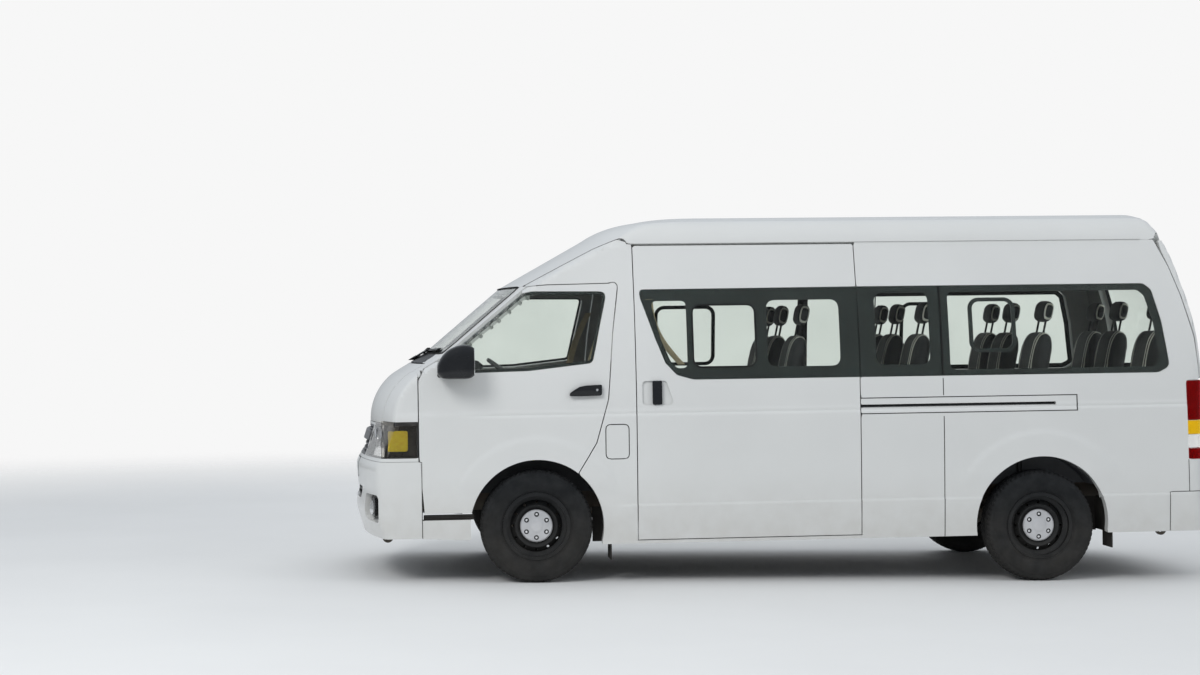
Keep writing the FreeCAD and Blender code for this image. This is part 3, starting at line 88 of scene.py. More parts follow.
def noise(nodes, links, scale, detail=4.0, roughness=0.55):
    """Noise over the object's own coordinates."""
    coordinates = nodes.new("ShaderNodeTexCoord")
    texture = nodes.new("ShaderNodeTexNoise")
    socket(texture, "Scale", scale)
    socket(texture, "Detail", detail)
    socket(texture, "Roughness", roughness)
    links.new(coordinates.outputs["Object"], texture.inputs["Vector"])
    return texture.outputs["Fac"]


def ramp(nodes, links, source, low, high, colour_low, colour_high):
    """Two-colour ramp between two levels of a source."""
    node = nodes.new("ShaderNodeValToRGB")
    node.color_ramp.elements[0].position = low
    node.color_ramp.elements[1].position = high
    node.color_ramp.elements[0].color = (*colour_low, 1)
    node.color_ramp.elements[1].color = (*colour_high, 1)
    links.new(source, node.inputs["Fac"])
    return node.outputs["Color"]


def mixed(nodes, links, factor, first, second):
    """Colour mix of two sockets by a third."""
    node = nodes.new("ShaderNodeMix")
    node.data_type = "RGBA"
    links.new(factor, node.inputs["Factor"])
    for value, index in ((first, 6), (second, 7)):
        if isinstance(value, tuple):
            node.inputs[index].default_value = (*value, 1)
        else:
            links.new(value, node.inputs[index])
    return node.outputs[2]


def height_fade(nodes, links, low, high):
    """One at the low height, falling to nought at the high one."""
    coordinates = nodes.new("ShaderNodeTexCoord")
    parts = nodes.new("ShaderNodeSeparateXYZ")
    fade = nodes.new("ShaderNodeMapRange")
    fade.interpolation_type = "SMOOTHSTEP"
    socket(fade, "From Min", high)
    socket(fade, "From Max", low)
    links.new(coordinates.outputs["Object"], parts.inputs["Vector"])
    links.new(parts.outputs["Z"], fade.inputs["Value"])
    return fade.outputs["Result"]


def product(nodes, links, first, second):
    """Two values multiplied."""
    node = nodes.new("ShaderNodeMath")
    node.operation = "MULTIPLY"
    links.new(first, node.inputs[0])
    if isinstance(second, float):
        node.inputs[1].default_value = second
    else:
        links.new(second, node.inputs[1])
    return node.outputs[0]


def bumped(nodes, links, shader, source, strength, distance):
    """Small relief from a source."""
    node = nodes.new("ShaderNodeBump")
    socket(node, "Strength", strength)
    socket(node, "Distance", distance)
    links.new(source, node.inputs["Height"])
    links.new(node.outputs["Normal"], shader.inputs["Normal"])


PATCH_LEVELS = (0.35, 0.68)


def finish_material(name, base, second, patch_scale, rough, metal=0.0, grain=0.0, grain_scale=300.0,
                    coat=0.0, dust=0.0, dust_top=0.9, dust_colour=(0.30, 0.26, 0.21), gloss=0.5):
    """Surface that drifts between two colours in patches, has a fine grain, and gathers dust low down."""
    material, nodes, links, shader = new_material(name)
    colour = ramp(nodes, links, noise(nodes, links, patch_scale), *PATCH_LEVELS, base, second)
    if dust:
        fade = product(nodes, links, height_fade(nodes, links, 0.2, dust_top), noise(nodes, links, 9.0, 8.0))
        colour = mixed(nodes, links, product(nodes, links, fade, dust), colour, dust_colour)
    links.new(colour, shader.inputs["Base Color"])
    spread = nodes.new("ShaderNodeMapRange")
    socket(spread, "To Min", max(rough - 0.06, 0.02))
    socket(spread, "To Max", min(rough + 0.08, 1.0))
    links.new(noise(nodes, links, patch_scale * 5), spread.inputs["Value"])
    links.new(spread.outputs["Result"], shader.inputs["Roughness"])
    socket(shader, "Metallic", metal)
    socket(shader, "Specular IOR Level", gloss)
    if coat:
        socket(shader, "Coat Weight", coat)
        socket(shader, "Coat Roughness", 0.06)
    if grain:
        bumped(nodes, links, shader, noise(nodes, links, grain_scale, 2.0), grain, 0.001)
    MATERIALS[name] = material


def glass_material(name, tint, roughness=0.0, ior=1.20):
    """Clear sheet whose tint drifts a little."""
    material, nodes, links, shader = new_material(name)
    socket(shader, "Roughness", roughness)
    socket(shader, "IOR", ior)
    socket(shader, "Transmission Weight", 1.0)
    streaks = noise(nodes, links, 3.0)
    links.new(ramp(nodes, links, streaks, 0.3, 0.7, tint, tuple(min(c * 1.05, 1.0) for c in tint)),
              shader.inputs["Base Color"])
    MATERIALS[name] = material


# Distance from a seat's middle at which its cloth turns dark (0) or light (1)
SEAT_LINES = ((0.0, 0), (0.095, 1), (0.107, 0), (0.125, 1), (0.135, 0))


def seat_material(name):
    """Dark woven cloth with light lines beside the middle of each seat, from the distance across it."""
    material, nodes, links, shader = new_material(name)
    across = nodes.new("ShaderNodeAttribute")
    across.attribute_name = "across"
    away = nodes.new("ShaderNodeMath")
    away.operation = "ABSOLUTE"
    links.new(across.outputs["Fac"], away.inputs[0])
    line = nodes.new("ShaderNodeValToRGB")
    line.color_ramp.interpolation = "CONSTANT"
    for position, tone in SEAT_LINES:
        mark = line.color_ramp.elements[0] if position == 0.0 else line.color_ramp.elements.new(position)
        mark.position = position
        mark.color = (tone, tone, tone, 1)
    line.color_ramp.elements[-1].color = (0, 0, 0, 1)
    links.new(away.outputs[0], line.inputs["Fac"])
    cloth = noise(nodes, links, 30.0)
    dark = ramp(nodes, links, cloth, *PATCH_LEVELS, (0.020, 0.021, 0.024), (0.034, 0.035, 0.040))
    striped = mixed(nodes, links, line.outputs["Color"], dark, (0.72, 0.70, 0.64))
    links.new(striped, shader.inputs["Base Color"])
    socket(shader, "Roughness", 0.9)
    socket(shader, "Sheen Weight", 0.15)
    bumped(nodes, links, shader, noise(nodes, links, 900.0, 2.0), 0.5, 0.001)
    MATERIALS[name] = material


def make_materials(settings):
    """Every finish of the van, under its plain name."""
    paint = tuple(settings.paint_colour)
    second = tuple(c * 0.965 for c in paint)
    finish_material("paint", paint, second, 1.4, 0.30, coat=0.5, dust=0.55, dust_top=0.75,
                    dust_colour=(0.42, 0.39, 0.34), grain=0.02, grain_scale=900.0)
    finish_material("black_plastic", (0.010, 0.011, 0.012), (0.016, 0.017, 0.018), 6.0, 0.40, grain=0.2,
                    grain_scale=900.0, dust=0.10, gloss=0.3)
    finish_material("grille_plastic", (0.10, 0.10, 0.105), (0.14, 0.14, 0.145), 8.0, 0.35, metal=0.3,
                    dust=0.3)
    finish_material("trim_plastic", (0.05, 0.052, 0.056), (0.075, 0.078, 0.083), 5.0, 0.6, grain=0.4,
                    grain_scale=700.0)
    finish_material("rubber", (0.010, 0.010, 0.011), (0.018, 0.018, 0.018), 12.0, 0.72, grain=0.3,
                    dust=0.15, gloss=0.2)
    finish_material("tyre", (0.012, 0.013, 0.014), (0.021, 0.022, 0.023), 14.0, 0.80, grain=0.35,
                    grain_scale=420.0, dust=0.10, dust_top=0.6, gloss=0.2)
    finish_material("wheel_steel", (0.008, 0.009, 0.010), (0.016, 0.017, 0.018), 9.0, 0.34, metal=0.2,
                    grain=0.08, dust=0.08, dust_top=0.6, gloss=0.3)
    finish_material("hub_silver", (0.66, 0.66, 0.67), (0.56, 0.56, 0.57), 10.0, 0.32, metal=0.45, grain=0.05,
                    dust=0.1)
    finish_material("frame_steel", (0.035, 0.034, 0.033), (0.085, 0.060, 0.045), 5.0, 0.66, metal=0.35,
                    grain=0.35, dust=0.7)
    finish_material("cast", (0.16, 0.155, 0.15), (0.095, 0.075, 0.06), 7.0, 0.62, metal=0.6, grain=0.5,
                    grain_scale=160.0, dust=0.5)
    finish_material("exhaust_steel", (0.33, 0.29, 0.25), (0.20, 0.14, 0.10), 4.0, 0.5, metal=0.85, grain=0.2)
    seat_material("seat_cloth")
    finish_material("webbing", (0.46, 0.38, 0.26), (0.40, 0.33, 0.22), 40.0, 0.8, grain=0.5)
    finish_material("lining", (0.30, 0.30, 0.295), (0.25, 0.25, 0.245), 6.0, 0.7, grain=0.3)
    finish_material("ceramic", (0.003, 0.009, 0.010), (0.006, 0.013, 0.014), 4.0, 0.35)
    # Near-black of the panel seams and slit floors: painted shade in the joints and gaps between panels
    finish_material("seam", (0.030, 0.030, 0.030), (0.050, 0.048, 0.045), 9.0, 0.8)
    finish_material("gloss_black", (0.006, 0.007, 0.009), (0.010, 0.011, 0.013), 6.0, 0.24, dust=0.05,
                    gloss=0.4)
    finish_material("chrome", (0.80, 0.80, 0.80), (0.70, 0.70, 0.71), 8.0, 0.12, metal=0.95)
    finish_material("lamp_dark", (0.045, 0.046, 0.050), (0.075, 0.075, 0.078), 14.0, 0.3, metal=0.4)
    finish_material("amber", (0.95, 0.80, 0.05), (0.88, 0.66, 0.04), 60.0, 0.3, coat=0.5)
    finish_material("plate", (0.72, 0.73, 0.72), (0.62, 0.63, 0.62), 7.0, 0.4, dust=0.2)
    glass_material("glass", tuple(settings.glass_colour))
    glass_material("screen_glass", tuple(min(c * 1.2, 1.0) for c in settings.glass_colour))
    glass_material("lens_clear", (0.97, 0.98, 0.98), 0.02)
    glass_material("lens_smoke", (0.62, 0.60, 0.56), 0.03)
    glass_material("lens_red", (0.42, 0.010, 0.016), 0.06)
    glass_material("lens_amber", (0.96, 0.74, 0.10), 0.06)


def dress(names, finish):
    """Give CAD nodes one finish."""
    for name in names:
        data = NODES[name].data
        data.materials.clear()
        data.materials.append(MATERIALS[finish])


# Body surface, level, in metres from the floor below the front axle

SILL = 0.225
BELT = 1.025
HIGH_CREASE = 1.868
SEAM = 2.038
ROOF = 2.235
NOSE = 1.1
TAIL = WHEELBASE + 1.17
NOSE_AXIS = NOSE - 3.0
TAIL_AXIS = 3.5 - TAIL
WALL = 0.058
GAP = 0.006
SEAM_HALF = 0.772
ARCH_SHIFT = 0.004
FRONT_ARCH_HEIGHT = 0.338
REAR_ARCH_HEIGHT = 0.290


def arc(start, via, end, count=24):
    """Points after the first on the circle through three points, centred where two bisectors meet."""
    a, b, c = (np.array(p, float) for p in (start, via, end))
    rows = 2 * np.array([b - a, c - a])
    centre = np.linalg.solve(rows, np.array([b @ b - a @ a, c @ c - a @ a]))
    angles = [math.atan2(*(p - centre)[::-1]) for p in (a, b, c)]
    sweep = (angles[2] - angles[0]) % (2 * math.pi)
    if (angles[1] - angles[0]) % (2 * math.pi) > sweep:
        sweep -= 2 * math.pi
    turn = angles[0] + sweep * np.arange(1, count + 1) / count
    return centre + np.linalg.norm(a - centre) * np.stack([np.cos(turn), np.sin(turn)], 1)


def track(points):
    """Line through points; a point of four numbers ends an arc that passes its last two."""
    line = [np.array([points[0][:2]], float)]
    for before, point in zip(points, points[1:]):
        if len(point) == 4:
            line.append(arc(before[:2], point[2:], point[:2]))
        else:
            line.append(np.array([point], float))
    return np.concatenate(line)


def softened(line, radius, step=0.002):
    """The line sampled evenly along its length and averaged over a short window, to round its creases."""
    length = np.concatenate([[0], np.cumsum(np.linalg.norm(np.diff(line, axis=0), axis=1))])
    at = np.arange(0, length[-1], step)
    even = np.stack([np.interp(at, length, line[:, k]) for k in (0, 1)], 1)
    half = int(radius / step)
    padded = np.concatenate([2 * even[:1] - even[half:0:-1], even, 2 * even[-1:] - even[-2:-half - 2:-1]])
    window = np.ones(2 * half + 1) / (2 * half + 1)
    return np.stack([np.convolve(padded[:, k], window, "valid") for k in (0, 1)], 1)


# Half section from the sill to the crown of the roof: half width, height
SECTION = softened(track([
    (0.912, SILL - 0.02), (0.928, 0.455), (0.940, 1.013, 0.939, 0.775), (0.932, 1.037),
    (0.814, HIGH_CREASE, 0.899, 1.4465), (SEAM_HALF, SEAM), (0.600, 2.185, 0.728, 2.130),
    (-0.600, 2.185, 0.0, ROOF)]), 0.010)
SECTION = SECTION[SECTION[:, 0] > 0]
SECTION_RUN = np.concatenate([[0], np.cumsum(np.linalg.norm(np.diff(SECTION, axis=0), axis=1))])
SECTION_RUN = SECTION_RUN[-1] - SECTION_RUN

# Side view of the nose on the middle line: station, height
NOSE_LINE = softened(track([
    (NOSE - 0.055, SILL), (NOSE - 0.05, SILL + 0.04), (NOSE, SILL + 0.21), (NOSE - 0.014, SILL + 0.34),
    (NOSE - 0.007, SILL + 0.482), (NOSE - 0.030, SILL + 0.53), (NOSE - 0.096, BELT - 0.065),
    (NOSE - 0.244, BELT + 0.238, NOSE - 0.140, BELT + 0.120), (NOSE - 0.420, BELT + 0.343),
    (0.183, SEAM - 0.253), (-0.361, SEAM + 0.050), (-0.642, SEAM + 0.153, -0.495, SEAM + 0.119),
    (-1.0, ROOF + 0.005, -0.820, SEAM + 0.183)]), 0.016)
# Side view of the tail on the middle line: station, height
TAIL_LINE = softened(track([
    (-TAIL + 0.03, SILL), (-TAIL + 0.022, SILL + 0.04), (-TAIL, SILL + 0.08), (-TAIL, SILL + 0.245),
    (-TAIL + 0.020, SILL + 0.262), (-TAIL + 0.018, BELT + 0.125),
    (-WHEELBASE - 1.035, SEAM - 0.258, -WHEELBASE - 1.115, BELT + 0.480),
    (-WHEELBASE - 0.870, SEAM + 0.102, -WHEELBASE - 0.980, SEAM - 0.098),
    (-WHEELBASE - 0.780, ROOF + 0.005)]), 0.012)
# Plan of the front and rear corners: station, half width
PLAN_LINE = track([
    (-TAIL - 0.04, 0.0), (-TAIL + 0.07, 0.754), (-TAIL + 0.245, 0.944, -TAIL + 0.128, 0.889),
    (NOSE - 0.33, 0.944), (NOSE - 0.078, 0.719, NOSE - 0.15, 0.882), (NOSE + 0.04, 0.0)])
# Parts of the plan from the middle line round a corner to the side
CORNER_POINTS = 26
FRONT_CORNER = PLAN_LINE[::-1][:CORNER_POINTS]
REAR_CORNER = PLAN_LINE[:CORNER_POINTS]


def least(first, second, blend):
    """The lesser of two fields, less up to a quarter of the blend where they cross, which rounds it."""
    share = np.clip(0.5 + 0.5 * (second - first) / blend, 0, 1)
    return second * (1 - share) + first * share - blend * share * (1 - share)


def nose_reach(z):
    """Radius of the nose about its upright axis at a height."""
    return np.interp(z, NOSE_LINE[:, 1], NOSE_LINE[:, 0]) - NOSE_AXIS


def tail_reach(z):
    """Radius of the tail about its upright axis at a height."""
    return TAIL_AXIS - np.interp(z, TAIL_LINE[:, 1], TAIL_LINE[:, 0])


def half_width(z):
    """Half the section's width at a height."""
    return np.interp(z, SECTION[:, 1], SECTION[:, 0])


FLARES = ((0.0, FRONT_ARCH_HEIGHT, 0.545), (-WHEELBASE - ARCH_SHIFT, REAR_ARCH_HEIGHT, 0.578))
FLARE_HEIGHT = 0.015
SCOOP_DEPTH = 0.011
GROOVE_DEPTH = 0.007
FOOT_HEIGHT = 0.007


def eased(share):
    """Share held between nought and one, its ends made level by a cubic."""
    share = np.clip(share, 0, 1)
    return share * share * (3 - 2 * share)


def relief(x, z):
    """Height of the pressed forms.

    A flare is an eased step at a radius from the arch's middle, faded out near the floor. The hollow
    behind the door handle is half an ellipsoid, the groove at the belt a bell curve over the height, and
    the raised foot an eased step over the height.
    """
    flare = np.zeros(np.broadcast(x, z).shape)
    for station, height, radius in FLARES:
        away = np.hypot(x - station, z - height)
        flare = np.maximum(flare, FLARE_HEIGHT * eased((radius - away) / 0.022))
    scoop = np.clip(1 - ((x + 0.296) / 0.125) ** 2 - ((z - 1.112) / 0.046) ** 2, 0, 1)
    groove = np.exp(-((z - BELT + 0.014) / 0.010) ** 2) * np.clip((0.50 - x) / 0.25, 0, 1)
    foot = eased(np.clip((0.468 - z) / 0.020, 0, 1) * np.clip((-0.45 - x) / 0.10, 0, 1))
    return (flare * eased((z - 0.52) / 0.13) - SCOOP_DEPTH * scoop ** 1.5 - GROOVE_DEPTH * groove
            + FOOT_HEIGHT * foot)


def side_width(x, z):
    """Half width at a station and height: the least of section, plan, nose and tail, plus the flares."""
    width = half_width(z) + relief(x, z)
    corner = np.interp(x, PLAN_LINE[:, 0], PLAN_LINE[:, 1])
    nose = np.sqrt(np.maximum(nose_reach(z) ** 2 - np.maximum(x - NOSE_AXIS, 0) ** 2, 0))
    tail = np.sqrt(np.maximum(tail_reach(z) ** 2 - np.maximum(TAIL_AXIS - x, 0) ** 2, 0))
    return least(least(width, corner, 0.02), least(nose, tail, 0.02), 0.035)


def left_side(x, z):
    """Surface of the left side over station and height."""
    return np.stack([x, side_width(x, z), z], -1)


def right_side(x, z):
    """Surface of the right side over station and height."""
    return np.stack([x, -side_width(x, z), z], -1)


def wrapped(axis, sign):
    """Surface round an upright axis over angle and height: each ray is halved until it ends on the skin."""
    def surface(angle, z):
        """Points of the skin at angles about the axis and heights."""
        low = np.full(np.shape(angle), 0.02)
        high = np.full(np.shape(angle), 1.9)
        across, along = np.sin(angle), sign * np.cos(angle)
        for step in range(24):
            middle = (low + high) / 2
            inside = np.abs(middle * across) < side_width(axis + middle * along, z)
            low, high = np.where(inside, middle, low), np.where(inside, high, middle)
        return np.stack([axis + low * along, low * across, z], -1)
    return surface


FRONT_AXIS = 0.30
REAR_AXIS = -WHEELBASE - 0.50
nose_skin = wrapped(FRONT_AXIS, 1)
tail_skin = wrapped(REAR_AXIS, -1)


def run_of(half):
    """Run along the section from the crown to a half width."""
    return np.interp(half, SECTION[::-1, 0], SECTION_RUN[::-1])


def roof_skin(x, run):
    """Roof over station and run, the length along the section from its crown, positive to the left."""
    across = np.interp(-np.abs(run), -SECTION_RUN, SECTION[:, 0])
    crown = np.interp(-np.abs(run), -SECTION_RUN, SECTION[:, 1])
    nose_from = np.hypot(np.maximum(x - NOSE_AXIS, 0), across)
    tail_from = np.hypot(np.maximum(TAIL_AXIS - x, 0), across)
    nose = np.interp(nose_from, NOSE_LINE[::-1, 0] - NOSE_AXIS, NOSE_LINE[::-1, 1])
    tail = np.interp(tail_from, TAIL_AXIS - TAIL_LINE[::-1, 0], TAIL_LINE[::-1, 1])
    height = least(crown, least(nose, tail, 0.02), 0.03)
    return np.stack([x, np.sign(run) * across, height], -1)


def front_face(y, z):
    """Nose, bonnet and windscreen over distance from the middle and height."""
    corner = np.interp(np.abs(y), FRONT_CORNER[:, 1], FRONT_CORNER[:, 0])
    station = NOSE_AXIS + np.sqrt(np.maximum(nose_reach(z) ** 2 - y ** 2, 0))
    return np.stack([least(station, corner, 0.02), y, z], -1)


def tilted(points):
    """Level points in the object's own frame: turned nose down about a line through the front axle."""
    x, y, z = points[..., 0], points[..., 1], points[..., 2] - RAKE_HEIGHT
    c, s = math.cos(RAKE), math.sin(RAKE)
    return np.stack([AXLE_X + x * c + z * s, y, RAKE_HEIGHT - x * s + z * c], -1)


# Outlines and meshes

def rounded(points, radius, steps=6):
    """Closed outline whose corners are arcs: each arc leaves its sides at the same reach from the corner."""
    points = np.array(points, float)
    line = []
    for before, corner, after in zip(np.roll(points, 1, 0), points, np.roll(points, -1, 0)):
        a, b = before - corner, after - corner
        long_a, long_b = np.linalg.norm(a), np.linalg.norm(b)
        half = math.acos(np.clip(a @ b / long_a / long_b, -1, 1)) / 2
        reach = min(radius / math.tan(half), 0.45 * long_a, 0.45 * long_b)
        start, end = corner + a / long_a * reach, corner + b / long_b * reach
        share = np.linspace(0, 1, steps)[:, None]
        pull = 0.12 * (start + end) / 2 + 0.88 * corner
        line.append((1 - share) ** 2 * start + 2 * share * (1 - share) * pull + share ** 2 * end)
    return np.concatenate(line)


def dense(outline, step=0.003):
    """Closed outline sampled evenly."""
    ring = np.concatenate([outline, outline[:1]])
    run = np.concatenate([[0], np.cumsum(np.linalg.norm(np.diff(ring, axis=0), axis=1))])
    at = np.linspace(0, run[-1], max(int(run[-1] / step), 12), endpoint=False)
    return np.stack([np.interp(at, run, ring[:, k]) for k in (0, 1)], 1)


def inside(points, outline):
    """Even-odd test of points against a closed outline."""
    x, y = points[:, 0:1], points[:, 1:2]
    x0, y0 = outline[:, 0], outline[:, 1]
    x1, y1 = np.roll(x0, -1), np.roll(y0, -1)
    spans = (y0 > y) != (y1 > y)
    rise = np.where(y1 == y0, 1e-12, y1 - y0)
    crossing = spans & (x < x0 + (y - y0) * (x1 - x0) / rise)
    return crossing.sum(1) % 2 == 1


def shrunk(outline, gap):
    """Outline moved inwards along its own normals."""
    even = dense(outline)
    way = np.roll(even, -2, 0) - np.roll(even, 2, 0)
    normal = np.stack([way[:, 1], -way[:, 0]], 1) / np.linalg.norm(way, axis=1)[:, None]
    area = np.sum(even[:, 0] * np.roll(even[:, 1], -1) - np.roll(even[:, 0], -1) * even[:, 1])
    return even - normal * gap * np.sign(area)


def in_zone(points, added, cuts):
    """Points within the first outline and outside every cut."""
    kept = inside(points, added)
    for cut in cuts:
        kept &= ~inside(points, cut)
    return kept


BESIDE_MARK = (-0.008, -0.003, 0.003, 0.008)


def levels(low, high, step, marks=()):
    """Even levels, with two more on each side of every mark."""
    even = np.linspace(low, high, max(int(math.ceil((high - low) / step)), 1) + 1)
    extra = np.add.outer(np.array(marks, float), BESIDE_MARK).ravel()
    return np.unique(np.round(np.concatenate([even, np.clip(extra, low, high)]), 5))


def cells(index):
    """Four-cornered cells between neighbouring rows and columns of point numbers."""
    return np.stack([index[:-1, :-1], index[1:, :-1], index[1:, 1:], index[:-1, 1:]], -1).reshape(-1, 4)


# Short steps round a point, which tell whether it lies on the zone's edge
NUDGES = 0.0015 * np.array([(1, 0), (-1, 0), (0, 1), (0, -1), (0.7, 0.7), (-0.7, -0.7), (0.7, -0.7),
                            (-0.7, 0.7)])


def cut_grid(us, vs, added, cuts):
    """Cells of a grid whose centres lie in the zone, with the rim's points moved to the zone's edge."""
    u, v = np.meshgrid(us, vs, indexing="ij")
    points = np.stack([u.ravel(), v.ravel()], 1)
    quads = cells(np.arange(len(points)).reshape(u.shape))
    quads = quads[in_zone(points[quads].mean(1), added, cuts)]
    used, quads = np.unique(quads, return_inverse=True)
    points, quads = points[used], quads.reshape(-1, 4)
    edges = rim_edges(quads)
    rim = np.unique(edges)
    edge_line = np.concatenate([dense(outline) for outline in (added, *cuts)])
    tests = np.stack([in_zone(edge_line + nudge, added, cuts) for nudge in NUDGES])
    edge_line = edge_line[tests.any(0) & ~tests.all(0)]
    for group in np.array_split(rim, max(len(rim) // 400, 1)):
        away = np.linalg.norm(points[group, None] - edge_line[None], axis=2)
        points[group] = edge_line[away.argmin(1)]
    return points, quads, edges


def rim_edges(quads):
    """Directed edges that only one cell has."""
    edges = np.concatenate([quads[:, [k, (k + 1) % 4]] for k in range(4)])
    size = edges.max() + 1
    ahead, back = edges[:, 0] * size + edges[:, 1], edges[:, 1] * size + edges[:, 0]
    return edges[~np.isin(ahead, back)]


# Middle line of the cabin, from which the skin faces away: rear and front station, height
CORE = (-3.7, 0.2, 1.25)


def normals_of(surface, u, v, step=0.002):
    """Unit normals: the cross product of the surface's central differences, facing away from the cabin."""
    across = surface(u + step, v) - surface(u - step, v)
    along = surface(u, v + step) - surface(u, v - step)
    normal = np.cross(across, along)
    normal /= np.maximum(np.linalg.norm(normal, axis=1), 1e-12)[:, None]
    place = surface(u, v)
    core = np.stack([np.clip(place[:, 0], *CORE[:2]), 0 * u, np.full(len(u), CORE[2])], 1)
    sign = np.sign(np.sum(normal * (place - core), 1).mean())
    return normal * sign, sign


def walled(outer, normal, quads, edges, depth):
    """Closed wall: a sheet, its copy a depth below it along the normals, and the rim between them."""
    count = len(outer)
    rim = np.stack([edges[:, 1], edges[:, 0], edges[:, 0] + count, edges[:, 1] + count], 1)
    points = np.concatenate([outer, outer - normal * depth])
    faces = np.concatenate([quads, rim, quads[:, ::-1] + count])
    finish = np.concatenate([np.zeros(len(quads) + len(rim), int), np.ones(len(quads), int)])
    return points, faces, finish


def panel(surface, us, vs, added, cuts=(), depth=WALL, lift=0.0):
    """Wall over the cells of a grid in a zone, its outer sheet at a lift above the skin."""
    flat, quads, edges = cut_grid(us, vs, added, cuts)
    normal, sign = normals_of(surface, flat[:, 0], flat[:, 1])
    outer = surface(flat[:, 0], flat[:, 1]) + normal * lift
    if sign < 0:
        quads, edges = quads[:, ::-1], edges[:, ::-1]
    return walled(outer, normal, quads, edges, depth)


def pad(surface, outline, high, low, step=0.010, cuts=()):
    """Layer over an outline of the skin, between two heights above it."""
    edge = np.asarray(outline, float)
    us = levels(edge[:, 0].min(), edge[:, 0].max(), step)
    vs = levels(edge[:, 1].min(), edge[:, 1].max(), step)
    return panel(surface, us, vs, edge, cuts, high - low, high)


def block(x0, x1, z0, z1):
    """Four corners of an upright rectangle."""
    return np.array([(x0, z0), (x1, z0), (x1, z1), (x0, z1)])


def strip(surface, first, second, columns, depth, lift=0.0):
    """Wall between two lines of the surface's own parameters, filled evenly by a number of columns."""
    share = np.linspace(0, 1, columns)[:, None, None]
    flat = (first[None] * (1 - share) + second[None] * share).reshape(-1, 2)
    quads = cells(np.arange(len(flat)).reshape(columns, len(first)))
    edges = rim_edges(quads)
    normal = normals_of(surface, flat[:, 0], flat[:, 1])[0]
    outer = surface(flat[:, 0], flat[:, 1]) + normal * lift
    a, b, c = outer[quads[:, 0]], outer[quads[:, 1]], outer[quads[:, 3]]
    if np.sum(np.cross(b - a, c - a) * normal[quads[:, 0]]) < 0:
        quads, edges = quads[:, ::-1], edges[:, ::-1]
    return walled(outer, normal, quads, edges, depth)


def loft(rings, ends=True):
    """Skin over closed rings of equal counts, its ends closed by cells across them or joined together."""
    rows, count = rings.shape[:2]
    index = np.arange(rows * count).reshape(rows, count)
    if not ends:
        index = np.concatenate([index, index[:1]])
    after = np.roll(index, -1, 1)
    quads = np.stack([index[:-1], after[:-1], after[1:], index[1:]], -1).reshape(-1, 4)
    if ends:
        i = np.arange(count // 2 - 1)
        cap = np.stack([i, i + 1, count - 2 - i, count - 1 - i], 1)
        quads = np.concatenate([quads, cap[:, ::-1], cap + (rows - 1) * count])
    points = rings.reshape(-1, 3)
    a, b, c, d = (points[quads[:, k]] for k in range(4))
    volume = np.sum(np.cross(a, b) * c) + np.sum(np.cross(a, c) * d)
    return points, quads if volume > 0 else quads[:, ::-1], 0


def turned(profile, centre, side, steps, away=None):
    """Closed profile of radius and station turned about a wheel's axis, its radii lowered by a function."""
    turn = np.linspace(0, 2 * math.pi, steps, endpoint=False)[:, None]
    radius = profile[None, :, 0] - (away(turn, profile[None, :, 1], profile[None, :, 0]) if away else 0)
    station = np.broadcast_to(profile[None, :, 1], radius.shape)
    rings = np.stack([radius * np.cos(turn), side * station, radius * np.sin(turn)], -1)
    return loft(rings + np.array(centre), ends=False)


def bar(start, end, radius, steps=12):
    """Round bar between two points: two circles across its length."""
    start, end = np.array(start, float), np.array(end, float)
    along = (end - start) / np.linalg.norm(end - start)
    first = np.cross(along, (0.31, 0.22, 0.93))
    first /= np.linalg.norm(first)
    second = np.cross(along, first)
    turn = np.linspace(0, 2 * math.pi, steps, endpoint=False)[:, None]
    circle = radius * (np.cos(turn) * first + np.sin(turn) * second)
    return loft(np.stack([start + circle, end + circle]))


def shell_of(centre, halves, squareness, rows=20, count=40):
    """Rounded block: x, y and z are signed powers of sines and cosines, squarer the lower the exponent."""
    up = np.linspace(-math.pi / 2 + 0.06, math.pi / 2 - 0.06, rows)[:, None]
    turn = np.linspace(0, 2 * math.pi, count, endpoint=False)[None]
    level, height, ahead, across = (np.sign(value) * np.abs(value) ** squareness for value in (
        np.cos(up), np.sin(up), np.cos(turn), np.sin(turn)))
    rings = np.stack([level * ahead, level * across, height * np.ones_like(turn)], -1)
    return loft(rings * np.array(halves) + np.array(centre))


def mirrored(part):
    """The same part on the other side, its faces turned back outwards."""
    points, faces, finish = part
    return points * (1, -1, 1), faces[:, ::-1], finish


def new_mesh(name, parts, sharp=35):
    """One smooth mesh from parts of points, four-cornered faces and finish numbers."""
    points, faces, finishes, start = [], [], [], 0
    for part_points, part_faces, finish in parts:
        points.append(part_points)
        faces.append(part_faces + start)
        finishes.append(np.broadcast_to(finish, len(part_faces)))
        start += len(part_points)
    points, faces, finishes = np.concatenate(points), np.concatenate(faces), np.concatenate(finishes)
    mesh = bpy.data.meshes.new(name)
    mesh.vertices.add(len(points))
    mesh.vertices.foreach_set("co", points.astype(np.float32).ravel())
    mesh.loops.add(faces.size)
    mesh.loops.foreach_set("vertex_index", faces.astype(np.int32).ravel())
    mesh.polygons.add(len(faces))
    mesh.polygons.foreach_set("loop_start", np.arange(0, faces.size, faces.shape[1], dtype=np.int32))
    mesh.polygons.foreach_set("material_index", finishes.astype(np.int32))
    mesh.polygons.foreach_set("use_smooth", np.ones(len(faces), bool))
    mesh.update(calc_edges=True)
    mesh.validate()
    mesh.set_sharp_from_angle(angle=math.radians(sharp))
    return mesh


def placed(name, mesh, nodes, body):
    """Object of a mesh, riding on a body and standing for CAD nodes."""
    made = bpy.data.objects.new(name, mesh)
    bpy.context.collection.objects.link(made)
    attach(made, body)
    if nodes:
        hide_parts(*nodes)
    return made


